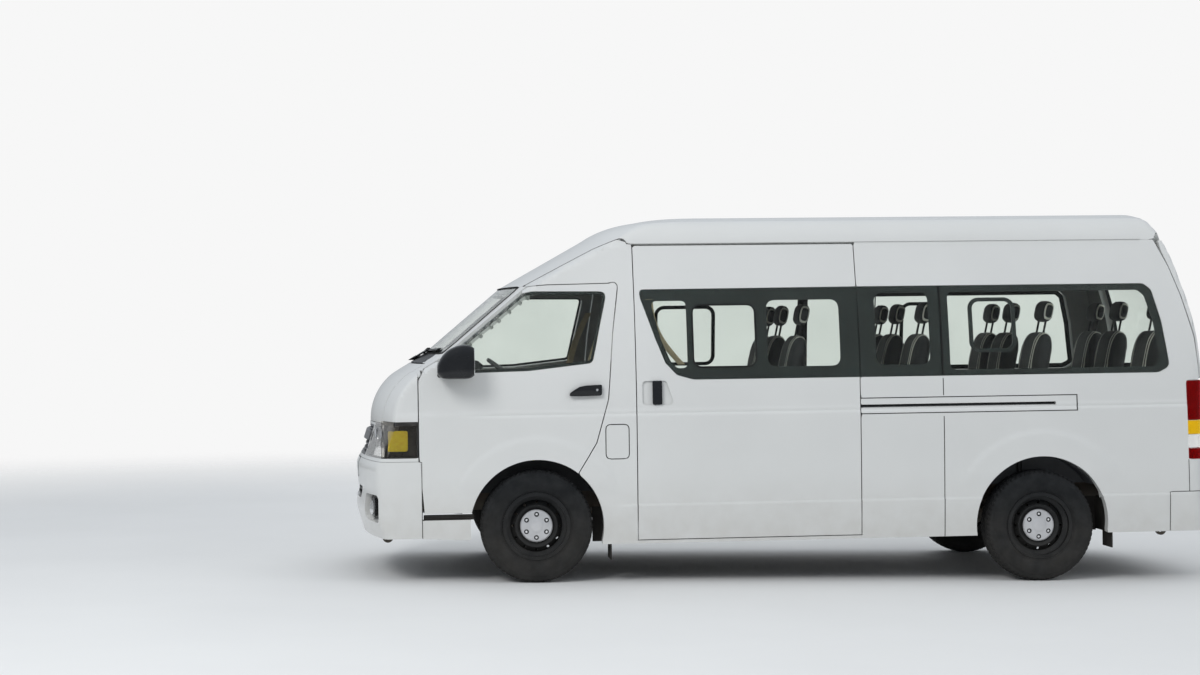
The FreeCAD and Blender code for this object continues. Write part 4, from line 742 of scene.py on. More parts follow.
def piece(name, parts, finishes, nodes=(), body="root", level=True):
    """Object from mesh parts, tilted with the body where they are given level."""
    if level:
        parts = [(tilted(points), faces, finish) for points, faces, finish in parts]
    mesh = new_mesh(name, parts)
    for finish in finishes:
        mesh.materials.append(MATERIALS[finish])
    placed(name, mesh, nodes, body)


# Outlines of the side view: station, height

SCREEN_TOP = SEAM - 0.250
SCREEN_FOOT = BELT + 0.360
COWL_FOOT = BELT + 0.305
BUMPER_TOP = SILL + 0.520
BUMPER_FOOT = SILL + 0.058
REAR_BUMPER_TOP = SILL + 0.245
DOOR_FRONT = NOSE - 0.392
ROOF_HALF = 0.69
GLASS_TOP = BELT + 0.740
GLASS_FOOT = BELT + 0.184
SLIDE_FRONT = -0.605
SLIDE_REAR = -1.985
REAR_AXLE = -WHEELBASE
SCREEN_HALF_FOOT = 0.732
SCREEN_HALF_TOP = 0.655
ROOF_REAR = REAR_AXLE - 0.784
REAR_BUMPER_FRONT = REAR_AXLE - 0.815
LAMP_TOP = BELT + 0.134
LAMP_FOOT = BELT - 0.357
LAMP_FRONT = REAR_AXLE - 0.924
LAMP_FOOT_FRONT = REAR_AXLE - 0.935


def pillar_half(z):
    """Half width of the line between the front door and the windscreen pillar."""
    return np.interp(z, [SCREEN_FOOT - 0.035, SCREEN_TOP], [0.800, 0.745])


def nose_station(half, z):
    """Station where the nose surface has a half width at a height."""
    return NOSE_AXIS + np.sqrt(np.maximum(nose_reach(z) ** 2 - np.asarray(half) ** 2, 0))


def held_back(outline, half):
    """Outline kept behind the line where the nose surface has the given half width."""
    even = dense(np.array(outline, float))
    even[:, 0] = np.minimum(even[:, 0], nose_station(half(even[:, 1]), even[:, 1]))
    return even


def circle(station, height, radius, steps=96):
    """Closed outline at one distance from a point."""
    turn = np.linspace(0, 2 * math.pi, steps, endpoint=False)
    return np.stack([station + radius * np.cos(turn), height + radius * np.sin(turn)], 1)


FRONT_ARCH = circle(0.0, FRONT_ARCH_HEIGHT, 0.402)
FRONT_ARCH_CLEAR = circle(0.0, FRONT_ARCH_HEIGHT, 0.405)
REAR_ARCH = circle(REAR_AXLE - ARCH_SHIFT, REAR_ARCH_HEIGHT, 0.415)
DOOR_FOOT = SILL + 0.2
FRONT_DOOR = held_back(track([
    (DOOR_FRONT - 0.028, DOOR_FOOT), (DOOR_FRONT, BELT - 0.25), (DOOR_FRONT, BELT + 0.205),
    (DOOR_FRONT - 0.066, BELT + 0.33), (0.245, SEAM - 0.347), (0.172, SEAM - 0.287), (0.080, SEAM - 0.252),
    (-0.070, SEAM - 0.240), (-0.46, SEAM - 0.234), (-0.513, SEAM - 0.262, -0.503, SEAM - 0.236),
    (-0.475, BELT + 0.475), (-0.441, BELT + 0.072), (-0.365, BELT - 0.190), (-0.250, BELT - 0.375),
    (0.0, BELT - 0.400), (0.0, DOOR_FOOT)]), pillar_half)
FRONT_WINDOW = held_back(rounded([
    (-0.444, SEAM - 0.286), (-0.347, BELT + 0.293), (0.039, BELT + 0.251), (0.560, BELT + 0.240),
    (0.600, BELT + 0.300), (0.240, SEAM - 0.378), (0.076, SEAM - 0.292), (0.006, SEAM - 0.281)], 0.035),
    lambda z: pillar_half(z) + 0.042)
SLIDE_DOOR = np.array([(SLIDE_FRONT, SILL + 0.018), (SLIDE_FRONT, SEAM - 0.004),
                       (SLIDE_REAR, SEAM - 0.004), (SLIDE_REAR, SILL + 0.018)])
SLIDE_GLASS = rounded([
    (SLIDE_FRONT - 0.032, GLASS_TOP - 0.004), (SLIDE_FRONT - 0.040, GLASS_TOP - 0.060),
    (SLIDE_FRONT - 0.121, BELT + 0.444), (SLIDE_FRONT - 0.181, BELT + 0.288),
    (SLIDE_FRONT - 0.251, BELT + 0.213), (SLIDE_FRONT - 0.352, GLASS_FOOT),
    (SLIDE_REAR - 0.060, GLASS_FOOT), (SLIDE_REAR - 0.060, GLASS_TOP)], 0.030)
SLIDE_GLASS[:, 0] = np.maximum(SLIDE_GLASS[:, 0], SLIDE_REAR + 0.002)
QUARTER_GLASS = rounded([
    (SLIDE_REAR + 0.060, GLASS_TOP), (SLIDE_REAR + 0.060, GLASS_FOOT), (REAR_AXLE - 0.754, GLASS_FOOT),
    (REAR_AXLE - 0.827, BELT + 0.221), (REAR_AXLE - 0.788, BELT + 0.507),
    (REAR_AXLE - 0.739, GLASS_TOP - 0.039), (REAR_AXLE - 0.689, GLASS_TOP)], 0.040)
QUARTER_GLASS[:, 0] = np.minimum(QUARTER_GLASS[:, 0], SLIDE_REAR - 0.0005)
# Seam between the side wall and the tailgate
TAIL_SEAM = np.array([
    (ROOF_REAR, SEAM), (REAR_AXLE - 0.862, SEAM - 0.170), (REAR_AXLE - 0.923, SEAM - 0.355),
    (REAR_AXLE - 0.987, SEAM - 0.603), (REAR_AXLE - 1.017, BELT + 0.138)])
FUEL_FLAP = rounded([(-0.415, BELT - 0.075), (-0.562, BELT - 0.075), (-0.562, BELT - 0.289),
                     (-0.415, BELT - 0.289)], 0.030)

# Front edge of the roof cap: along the windscreen, then up the pillars to the drip seam
CAP_RUN = np.linspace(0.055, -0.38, 24)
CAP_EDGE = np.stack([CAP_RUN, np.interp(np.hypot(CAP_RUN - NOSE_AXIS, ROOF_HALF),
                                        NOSE_LINE[::-1, 0] - NOSE_AXIS, NOSE_LINE[::-1, 1])], 1)
DRIP_FRONT = -0.579
DRIP_X = np.linspace(CAP_RUN[-1], DRIP_FRONT, 16)[1:]
DRIP_HALF = np.interp(DRIP_X, [DRIP_FRONT, CAP_RUN[-1]], [SEAM_HALF, ROOF_HALF])
DRIP_EDGE = np.stack([DRIP_X, roof_skin(DRIP_X, run_of(DRIP_HALF))[:, 2]], 1)
PILLAR_Z = np.linspace(1.24, SCREEN_TOP, 30)
PILLAR_EDGE = np.stack([nose_station(pillar_half(PILLAR_Z), PILLAR_Z), PILLAR_Z], 1)
# Whole side wall between bumper, windscreen, roof, tailgate and sill
SIDE = np.concatenate([
    [(DOOR_FRONT - 0.02, SILL + 0.056), (DOOR_FRONT - 0.02, BUMPER_TOP), (DOOR_FRONT, BUMPER_TOP)],
    PILLAR_EDGE, CAP_EDGE, DRIP_EDGE, [(ROOF_REAR, SEAM)], TAIL_SEAM,
    [(LAMP_FRONT, LAMP_TOP), (LAMP_FOOT_FRONT, LAMP_FOOT), (REAR_AXLE - 1.14, LAMP_FOOT),
     (REAR_AXLE - 1.14, REAR_BUMPER_TOP), (REAR_BUMPER_FRONT, REAR_BUMPER_TOP), (REAR_BUMPER_FRONT, SILL),
     (-0.25, SILL), (0.25, SILL + 0.034)]])

# Shut lines that are slits of a panel, and the channel of the sliding door
SPLIT = -2.5
RAIL_REAR = REAR_AXLE - 0.225
RAIL_LOW, RAIL_HIGH, RAIL_SLOT = BELT - 0.040, BELT + 0.055, BELT + 0.006
SLIT = 0.003
SPLIT_SLIT = block(SPLIT - SLIT, SPLIT + SLIT, SILL + 0.002, RAIL_LOW - 0.02)
SPLIT_ABOVE = block(SPLIT - SLIT, SPLIT + SLIT, RAIL_HIGH + 0.01, GLASS_FOOT - 0.012)
RAIL_SLITS = (
    block(RAIL_REAR, SLIDE_REAR - 0.001, RAIL_LOW - SLIT, RAIL_LOW + SLIT),
    block(RAIL_REAR, SLIDE_REAR - 0.001, RAIL_HIGH - SLIT, RAIL_HIGH + SLIT),
    block(RAIL_REAR - 0.008, RAIL_REAR, RAIL_LOW - SLIT, RAIL_HIGH + SLIT),
)
RAIL_CHANNEL = block(REAR_AXLE - 0.105, SLIDE_REAR - 0.001, RAIL_SLOT - 0.010, RAIL_SLOT + 0.010)
STEP_RECESS = block(DOOR_FRONT - 0.326, DOOR_FRONT - 0.026, SILL + 0.166, SILL + 0.1985)
DOOR_HANDLE = rounded([
    (-0.198, BELT + 0.098), (-0.204, BELT + 0.116), (-0.262, BELT + 0.151), (-0.300, BELT + 0.158),
    (-0.397, BELT + 0.162), (-0.397, BELT + 0.100)], 0.008)
SLIDE_HANDLE = rounded(block(SLIDE_FRONT - 0.158, SLIDE_FRONT - 0.100, BELT + 0.038, BELT + 0.180), 0.008)
SLIDE_SCOOP = rounded([
    (SLIDE_FRONT - 0.039, BELT + 0.034), (SLIDE_FRONT - 0.039, BELT + 0.181),
    (SLIDE_FRONT - 0.185, BELT + 0.181), (SLIDE_FRONT - 0.234, BELT + 0.034)], 0.022)
SASH = rounded(block(SLIDE_FRONT - 0.738, SLIDE_FRONT - 0.360, BELT + 0.264, BELT + 0.633), 0.045)
SLIDE_CLEAR = (
    rounded([(SLIDE_FRONT - 0.100, BELT + 0.665), (SLIDE_FRONT - 0.319, BELT + 0.665),
             (SLIDE_FRONT - 0.319, BELT + 0.255), (SLIDE_FRONT - 0.255, BELT + 0.255),
             (SLIDE_FRONT - 0.215, BELT + 0.300), (SLIDE_FRONT - 0.160, BELT + 0.430)], 0.030),
    SASH,
    rounded(block(SLIDE_FRONT - 1.261, SLIDE_FRONT - 0.813, BELT + 0.257, BELT + 0.663), 0.050),
)
QUARTER_CLEAR = (
    rounded(block(SPLIT + 0.075, SLIDE_REAR - 0.105, BELT + 0.257, GLASS_TOP - 0.040), 0.050),
    rounded([(SPLIT - 0.050, GLASS_TOP - 0.040), (SPLIT - 0.050, BELT + 0.222),
             (REAR_AXLE - 0.735, BELT + 0.222), (REAR_AXLE - 0.765, BELT + 0.270),
             (REAR_AXLE - 0.735, BELT + 0.500), (REAR_AXLE - 0.690, GLASS_TOP - 0.075),
             (REAR_AXLE - 0.650, GLASS_TOP - 0.040)], 0.035),
)
SCREEN = rounded([(-SCREEN_HALF_FOOT, SCREEN_FOOT), (SCREEN_HALF_FOOT, SCREEN_FOOT),
                  (SCREEN_HALF_TOP, SCREEN_TOP), (-SCREEN_HALF_TOP, SCREEN_TOP)], 0.045)
TAIL_WINDOW = rounded([(-0.700, BELT + 0.175), (0.700, BELT + 0.175), (0.640, SEAM - 0.165),
                       (-0.640, SEAM - 0.165)], 0.060)


def side_levels(marks=()):
    """Heights of the side grid's rows, close together at the creases and marks."""
    creases = (0.452, 0.464, BELT - 0.022, BELT - 0.010, BELT + 0.012, HIGH_CREASE)
    return levels(SILL, SEAM, 0.018, (*creases, *marks))


def front_angle(half, z):
    """Angle about the front axis of the nose's point at a distance from the middle and a height."""
    corner = np.interp(half, FRONT_CORNER[:, 1], FRONT_CORNER[:, 0])
    return np.arctan2(half, np.minimum(nose_station(half, z), corner) - FRONT_AXIS)


def between(first, second, z):
    """Closed outline between two edges given over the same heights."""
    return np.concatenate([np.stack([first, z], 1), np.stack([second, z], 1)[::-1]])


def band(half, low, high, steps=24):
    """Outline over angle and height of the part of the nose within a half width and two heights."""
    z = np.linspace(low, high, steps)
    edge = front_angle(np.full(steps, half), z)
    return between(edge, -edge, z)


def side_angle(station, z):
    """Angle about the front axis of a point of the side given its station and its height."""
    return np.arctan2(side_width(station, z), station - FRONT_AXIS)


def nose_zone(station, low, high, steps=80):
    """Outline over angle and height of the nose ahead of a station and ahead of the windscreen pillars."""
    z = np.linspace(low, high, steps)
    edge = side_angle(np.minimum(station, nose_station(pillar_half(z), z)), z)
    return between(edge, -edge, z)


def lamp_zone(inner, low, high, seam, steps=24):
    """Outline over angle and height of a left headlamp from a distance from the middle to a station."""
    z = np.linspace(low, high, steps)
    return between(front_angle(np.full(steps, inner), z), side_angle(np.full(steps, seam), z), z)


# Settings

class MINIBUS_PG_finish(bpy.types.PropertyGroup):
    """Colours and sizes that a user may change."""

    paint_colour: bpy.props.FloatVectorProperty(
        name="Paint", description="Body paint", subtype="COLOR", size=3, min=0, max=1,
        default=(0.70, 0.705, 0.69))
    glass_colour: bpy.props.FloatVectorProperty(
        name="Glass", description="Tint of the window glass", subtype="COLOR", size=3, min=0, max=1,
        default=(0.78, 0.82, 0.79))
    floor_colour: bpy.props.FloatVectorProperty(
        name="Floor", description="Studio floor", subtype="COLOR", size=3, min=0, max=1,
        default=(0.80, 0.80, 0.79))
    lens: bpy.props.FloatProperty(
        name="Lens", description="Focal length of the camera", default=60.6, min=10, max=300,
        subtype="DISTANCE_CAMERA")


def settings():
    """The scene's settings."""
    return bpy.context.scene.minibus


# Pieces

class MINIBUS_OT_materials(bpy.types.Operator):
    """Make every finish: two colours mixed in patches of noise, with dust that fades with the height"""

    bl_idname = "minibus.materials"
    bl_label = "Finishes"

    def execute(self, context):
        make_materials(settings())
        return {"FINISHED"}


class MINIBUS_OT_underside(bpy.types.Operator):
    """Finish the frame, axles, engine, exhaust and mud flaps of the assembly"""

    bl_idname = "minibus.underside"
    bl_label = "Underside"

    def execute(self, context):
        dress(("chassis_frame", "leaf_springs", "front_suspension", "propeller_shaft", "fuel_tank",
               "spare_wheel"), "frame_steel")
        dress(("engine_block", "rear_axle", "knuckle_left", "knuckle_right"), "cast")
        dress(("exhaust",), "exhaust_steel")
        dress(("mud_flaps",), "rubber")
        return {"FINISHED"}


# Painted shell

SHELL_FINISHES = ("paint", "lining")
X_STEP = 0.019


def side_panels(surface, cuts, marks):
    """Side wall with its openings, and the pillar beside the windscreen."""
    us = levels(REAR_AXLE - 1.16, DOOR_FRONT, X_STEP, (SPLIT, RAIL_REAR))
    wall = panel(surface, us, side_levels(marks), SIDE, (FRONT_ARCH, REAR_ARCH, STEP_RECESS, *cuts))
    z = np.linspace(SCREEN_FOOT - 0.03, SCREEN_TOP, 26)
    edge = np.interp(z, [SCREEN_FOOT, SCREEN_TOP], [SCREEN_HALF_FOOT, SCREEN_HALF_TOP]) - 0.002
    sign = 1 if surface is left_side else -1
    near = np.stack([sign * edge, z], 1)
    far = np.stack([sign * pillar_half(z), z], 1)
    return wall, strip(front_face, near, far, 5, WALL)


def behind(surface, outlines, low):
    """Thin floors of slits and channels, at a height below the skin."""
    return [pad(surface, outline, low, low - 0.003) for outline in outlines]


class MINIBUS_OT_sides(bpy.types.Operator):
    """Side walls over station and height: the least of section, plan, nose and tail, with flared arches"""

    bl_idname = "minibus.sides"
    bl_label = "Side walls"

    def execute(self, context):
        split = (SPLIT_SLIT, SPLIT_ABOVE)
        step_marks = (SILL + 0.166, SILL + 0.196)
        rail_marks = (*step_marks, RAIL_LOW, RAIL_HIGH, RAIL_SLOT)
        cuts = (FRONT_DOOR, SLIDE_DOOR, QUARTER_GLASS, FUEL_FLAP, RAIL_CHANNEL, *split, *RAIL_SLITS)
        piece("side_left_skin", side_panels(left_side, cuts, rail_marks), SHELL_FINISHES,
              ("body_side_left",))
        cuts = (FRONT_DOOR, SLIDE_GLASS, QUARTER_GLASS, *split)
        piece("side_right_skin", side_panels(right_side, cuts, step_marks), SHELL_FINISHES,
              ("body_side_right",))
        flap = shrunk(FUEL_FLAP, GAP)
        us, vs = levels(-0.562, -0.415, 0.012), levels(BELT - 0.289, BELT - 0.075, 0.012)
        piece("fuel_flap_skin", [panel(left_side, us, vs, flap, depth=0.012)], SHELL_FINISHES,
              ("fuel_flap",), "fuel_flap")
        # The floors of the slits, the flap's gap and the rail channel are near-black: painted shade in the
        # gaps
        floors = behind(left_side, (*split, *RAIL_SLITS), -0.005)
        floors += behind(left_side, (FUEL_FLAP,), -0.018) + behind(right_side, split, -0.005)
        floors += behind(left_side, (RAIL_CHANNEL,), -0.030)
        rail = block(REAR_AXLE - 0.10, SLIDE_REAR - 0.004, RAIL_SLOT - 0.003, RAIL_SLOT + 0.003)
        piece("shut_lines", floors, ("seam", "seam"))
        piece("slide_rail", [pad(left_side, rail, -0.020, -0.030)], ("gloss_black", "gloss_black"))
        treads = []
        for surface in (left_side, right_side):
            treads.append(pad(surface, STEP_RECESS, -0.010, -0.014))
            for height in (SILL + 0.170, SILL + 0.180, SILL + 0.190):
                ridge = block(DOOR_FRONT - 0.324, DOOR_FRONT - 0.028, height - 0.003, height + 0.003)
                treads.append(pad(surface, ridge, -0.002, -0.011))
        piece("step_treads", treads, ("rubber", "rubber"))
        bead = block(REAR_AXLE - 0.70, -0.585, SEAM + 0.003, SEAM + 0.013)
        beads = [pad(surface, bead, 0.007, -0.002, 0.02) for surface in (left_side, right_side)]
        piece("drip_beads", beads, ("paint", "paint"))
        return {"FINISHED"}


def cord(line, radius, steps=8):
    """Round line along points in space: circles across the direction between each point's neighbours."""
    line = np.asarray(line, float)
    along = np.gradient(line, axis=0)
    along /= np.linalg.norm(along, axis=1)[:, None]
    first = np.cross(along, np.array([0.05, 0.97, 0.23]))
    first /= np.linalg.norm(first, axis=1)[:, None]
    second = np.cross(along, first)
    turn = np.linspace(0, 2 * math.pi, steps, endpoint=False)[None, :, None]
    return loft(line[:, None] + radius * (np.cos(turn) * first[:, None] + np.sin(turn) * second[:, None]))


def on_skin(surface, outline, step=0.02):
    """Points in space of a line on the skin, sampled evenly."""
    line = np.asarray(outline, float)
    run = np.concatenate([[0], np.cumsum(np.linalg.norm(np.diff(line, axis=0), axis=1))])
    at = np.linspace(0, run[-1], max(int(run[-1] / step), 3))
    return surface(np.interp(at, run, line[:, 0]), np.interp(at, run, line[:, 1]))


def box_of(x0, x1, y0, y1, z0, z1):
    """Flat-sided block."""
    ring = np.array([(x0, y0), (x1, y0), (x1, y1), (x0, y1)])
    rings = np.stack([np.concatenate([ring, np.full((4, 1), z)], 1) for z in (z0, z1)])
    return loft(rings)


# Flat liners inside the arches: arch, and station of the front and rear of the liner from its middle
LINERS = ((0.0, -0.356, -0.470), (REAR_AXLE, -0.356, -0.440))
LINER_INNER, LINER_OUTER = 0.630, 0.885
LINER_LOW, LINER_HIGH = 0.215, 0.430


class MINIBUS_OT_seams(bpy.types.Operator):
    """Lines where panels meet as round cords along the skin, their near-black colour painted shade in the
    joints, and flat liners inside the arches
    """

    bl_idname = "minibus.seams"
    bl_label = "Seams"

    def execute(self, context):
        lines = [
            np.concatenate([CAP_EDGE, DRIP_EDGE]),
            [(DOOR_FRONT - 0.019, BUMPER_FOOT), (DOOR_FRONT - 0.019, BUMPER_TOP - 0.002),
             (DOOR_FRONT, BUMPER_TOP)],
            [(REAR_BUMPER_FRONT, SILL + 0.004), (REAR_BUMPER_FRONT, REAR_BUMPER_TOP),
             (REAR_AXLE - 1.05, REAR_BUMPER_TOP)],
            [(LAMP_FOOT_FRONT, LAMP_FOOT), (REAR_AXLE - 0.940, REAR_BUMPER_TOP)],
        ]
        surfaces = (left_side, right_side)
        cords = [cord(on_skin(surface, line), 0.0022) for line in lines for surface in surfaces]
        # The cords' near-black is painted shade along the joints of the roof front, bumpers and lamp foot
        piece("panel_seams", cords, ("seam",))
        screen = dense(SCREEN, 0.02)
        screen = front_face(screen[:, 0], screen[:, 1])
        piece("windscreen_seal", [cord(np.concatenate([screen, screen[:2]]), 0.0045)], ("rubber",))
        plates = []
        for station, front, rear in LINERS:
            back = station + rear
            plates.append(box_of(back, station + front, LINER_INNER, LINER_INNER + 0.005,
                                 LINER_LOW, LINER_HIGH))
            plates.append(box_of(back, back + 0.004, LINER_INNER, LINER_OUTER,
                                 LINER_LOW + 0.010, LINER_HIGH))
        piece("arch_liners", plates + [mirrored(part) for part in plates], ("rubber",))
        return {"FINISHED"}


class MINIBUS_OT_doors(bpy.types.Operator):
    """Front doors and sliding door cut from the side's surface, with raised handles over its relief"""

    bl_idname = "minibus.doors"
    bl_label = "Doors"

    def execute(self, context):
        door = shrunk(FRONT_DOOR, GAP)
        us = levels(-0.52, DOOR_FRONT, 0.016)
        for side, surface in (("left", left_side), ("right", right_side)):
            part = panel(surface, us, side_levels(), door, (FRONT_ARCH_CLEAR, FRONT_WINDOW))
            piece(f"door_{side}_skin", [part], SHELL_FINISHES, (f"front_door_{side}",), f"door_{side}")
            feet = [pad(surface, block(x, x + 0.05, BELT + 0.108, BELT + 0.146), 0.012, -0.002, 0.006)
                    for x in (-0.390, -0.312)]
            grip = pad(surface, DOOR_HANDLE, 0.027, 0.012, 0.005)
            key = pad(surface, circle(-0.368, BELT + 0.131, 0.007, 16), 0.0285, 0.026, 0.002)
            piece(f"handle_{side}", [grip, *feet], ("gloss_black", "gloss_black"), (), f"door_{side}")
            piece(f"keyhole_{side}", [key], ("chrome", "chrome"), (), f"door_{side}")
        slide = shrunk(SLIDE_DOOR, GAP)
        us = levels(SLIDE_REAR, SLIDE_FRONT, 0.018)
        part = panel(left_side, us, side_levels(), slide, (SLIDE_GLASS, SLIDE_SCOOP))
        floor = pad(left_side, shrunk(SLIDE_SCOOP, -0.001), -0.013, -0.018)
        piece("sliding_door_skin", [part, floor], SHELL_FINISHES, ("sliding_door",))
        feet = [pad(left_side, block(SLIDE_FRONT - 0.150, SLIDE_FRONT - 0.108, z, z + 0.022), 0.0, -0.014,
                    0.008) for z in (BELT + 0.046, BELT + 0.150)]
        grip = pad(left_side, SLIDE_HANDLE, 0.011, -0.003, 0.006)
        piece("sliding_door_handle", [grip, *feet], ("gloss_black", "gloss_black"))
        return {"FINISHED"}


MIRROR_CENTRE = (0.4780, 1.050, 1.3385)
MIRROR_HALVES = (0.1130, 0.085, 0.1015)
MIRROR_BACK = 0.374
MIRROR_REACH = 0.166
MIRROR_FOOT = 1.260
MIRROR_ARMS = (((0.580, 0.905, 1.256), (0.520, 1.020, 1.283), 0.016),
               ((0.560, 0.905, 1.262), (0.490, 1.020, 1.300), 0.013))


class MINIBUS_OT_mirrors(bpy.types.Operator):
    """Mirrors: rounded blocks whose top falls along an ellipse to the front, with their glass and arms"""

    bl_idname = "minibus.mirrors"
    bl_label = "Mirrors"

    def execute(self, context):
        points, faces, finish = shell_of(MIRROR_CENTRE, MIRROR_HALVES, 0.42, 40, 64)
        ahead = np.clip((points[:, 0] - 0.425) / MIRROR_REACH, 0, 1)
        above = np.maximum(points[:, 2] - MIRROR_FOOT, 0)
        points[:, 2] -= above * (1 - np.sqrt(1 - 0.86 * ahead ** 2))
        points[:, 0] = np.maximum(points[:, 0], MIRROR_BACK)
        points[:, 1] -= 0.045 * ahead ** 2
        arms = [bar(*arm) for arm in MIRROR_ARMS]
        glass = shell_of((MIRROR_BACK - 0.0015, *MIRROR_CENTRE[1:]), (0.0025, 0.070, 0.084), 0.35, 16, 48)
        for side in ("left", "right"):
            body = f"door_{side}"
            parts = [(points, faces, finish), *arms, glass]
            if side == "right":
                parts = [mirrored(part) for part in parts]
            piece(f"mirror_{side}_housing", parts[:-1], ("gloss_black",), (f"mirror_{side}",), body)
            piece(f"mirror_{side}_glass", parts[-1:], ("chrome",), (), body)
        return {"FINISHED"}


# Windows

PANE_GAP = 0.002
PANE_TOP, PANE_FOOT = -0.003, -0.008
BORDER_TOP, BORDER_DEPTH = -0.0085, 0.0015


def frame_ring(surface, outline, width):
    """Dark border of one width inside an outline."""
    lines = [shrunk(outline, gap) for gap in (PANE_GAP, width)]
    outer, inner = (np.concatenate([line, line[:1]]) for line in lines)
    return strip(surface, outer, inner, 3, BORDER_DEPTH, BORDER_TOP)


def window(name, surface, outline, clear, nodes, body="root", finish="glass", pane_step=0.024, width=0):
    """Pane let into the skin, and behind it a dark border of one width or with clear openings."""
    pane = pad(surface, shrunk(outline, PANE_GAP), PANE_TOP, PANE_FOOT, pane_step)
    piece(name + "_pane", [pane], (finish, finish), nodes, body)
    if width:
        border = frame_ring(surface, outline, width)
    else:
        border = pad(surface, shrunk(outline, PANE_GAP), BORDER_TOP, BORDER_TOP - BORDER_DEPTH, 0.015, clear)
    piece(name + "_border", [border], ("ceramic", "ceramic"), (), body)


def tail_angle(half, z):
    """Angle about the rear axis of a point of the tail given its distance from the middle and its height."""
    corner = np.interp(half, REAR_CORNER[:, 1], REAR_CORNER[:, 0])
    station = TAIL_AXIS - np.sqrt(np.maximum(tail_reach(z) ** 2 - half ** 2, 0))
    return np.arctan2(half, REAR_AXIS - np.maximum(station, corner))


def wrapped_outline(outline, angle):
    """Outline over half width and height as angles and heights, the angle given by a function."""
    half, z = dense(np.array(outline, float), 0.01).T
    return np.stack([np.sign(half) * angle(np.abs(half), z), z], 1)


def on_tail(outline):
    """Outline of the rear view (half width, height) as angles and heights of the tail."""
    return wrapped_outline(outline, tail_angle)


def on_nose(outline):
    """Outline of the front view (half width, height) as angles and heights of the nose."""
    return wrapped_outline(outline, front_angle)


class MINIBUS_OT_windows(bpy.types.Operator):
    """Panes at a small depth below the body's surfaces, with dark printed borders and sash seals"""

    bl_idname = "minibus.windows"
    bl_label = "Windows"

    def execute(self, context):
        window("slide_window", left_side, SLIDE_GLASS, SLIDE_CLEAR, ("sliding_door_glass",))
        window("quarter_window_left", left_side, QUARTER_GLASS, QUARTER_CLEAR, ("quarter_glass_left",))
        window("front_window_right", right_side, SLIDE_GLASS, (shrunk(SLIDE_GLASS, 0.035),),
               ("side_glass_right",))
        window("quarter_window_right", right_side, QUARTER_GLASS, (shrunk(QUARTER_GLASS, 0.035),), ())
        for side, surface in (("left", left_side), ("right", right_side)):
            window(f"door_window_{side}", surface, FRONT_WINDOW, (), (f"front_door_glass_{side}",),
                   f"door_{side}", pane_step=0.010, width=0.018)
        seals = [pad(surface, shrunk(SASH, -0.010), -0.001, -0.004, 0.010, (SASH,))
                 for surface in (left_side, right_side)]
        seals += [pad(surface, block(SPLIT - 0.004, SPLIT + 0.004, GLASS_FOOT + 0.004, GLASS_TOP - 0.004),
                      -0.001, -0.004) for surface in (left_side, right_side)]
        meeting = block(SLIDE_REAR - 0.008, SLIDE_REAR + 0.010, GLASS_FOOT, GLASS_TOP)
        seals += [pad(left_side, meeting, -0.012, -0.018), pad(right_side, meeting, -0.002, -0.012)]
        piece("sash_seals", seals, ("rubber", "rubber"))
        window("windscreen", front_face, SCREEN, (shrunk(SCREEN, 0.040),), ("windscreen",),
               finish="screen_glass")
        window("tailgate_window", tail_skin, on_tail(TAIL_WINDOW), (on_tail(shrunk(TAIL_WINDOW, 0.045)),),
               ("tailgate_glass",), "tailgate")
        dress(("window_frames",), "ceramic")
        return {"FINISHED"}


# Outlines of the front view: distance from the middle, height
FOG_RECESS = rounded([(0.600, 0.385), (0.600, 0.543), (0.882, 0.543), (0.882, 0.377)], 0.028)
FOG_CENTRE = (0.735, 0.461)
INTAKE = rounded([(-0.430, 0.500), (0.430, 0.500), (0.465, 0.573), (-0.465, 0.573)], 0.018)
SLATS = (0.518, 0.546)
PLATE_LOW, PLATE_HIGH, PLATE_HALF = 0.628, 0.738, 0.26


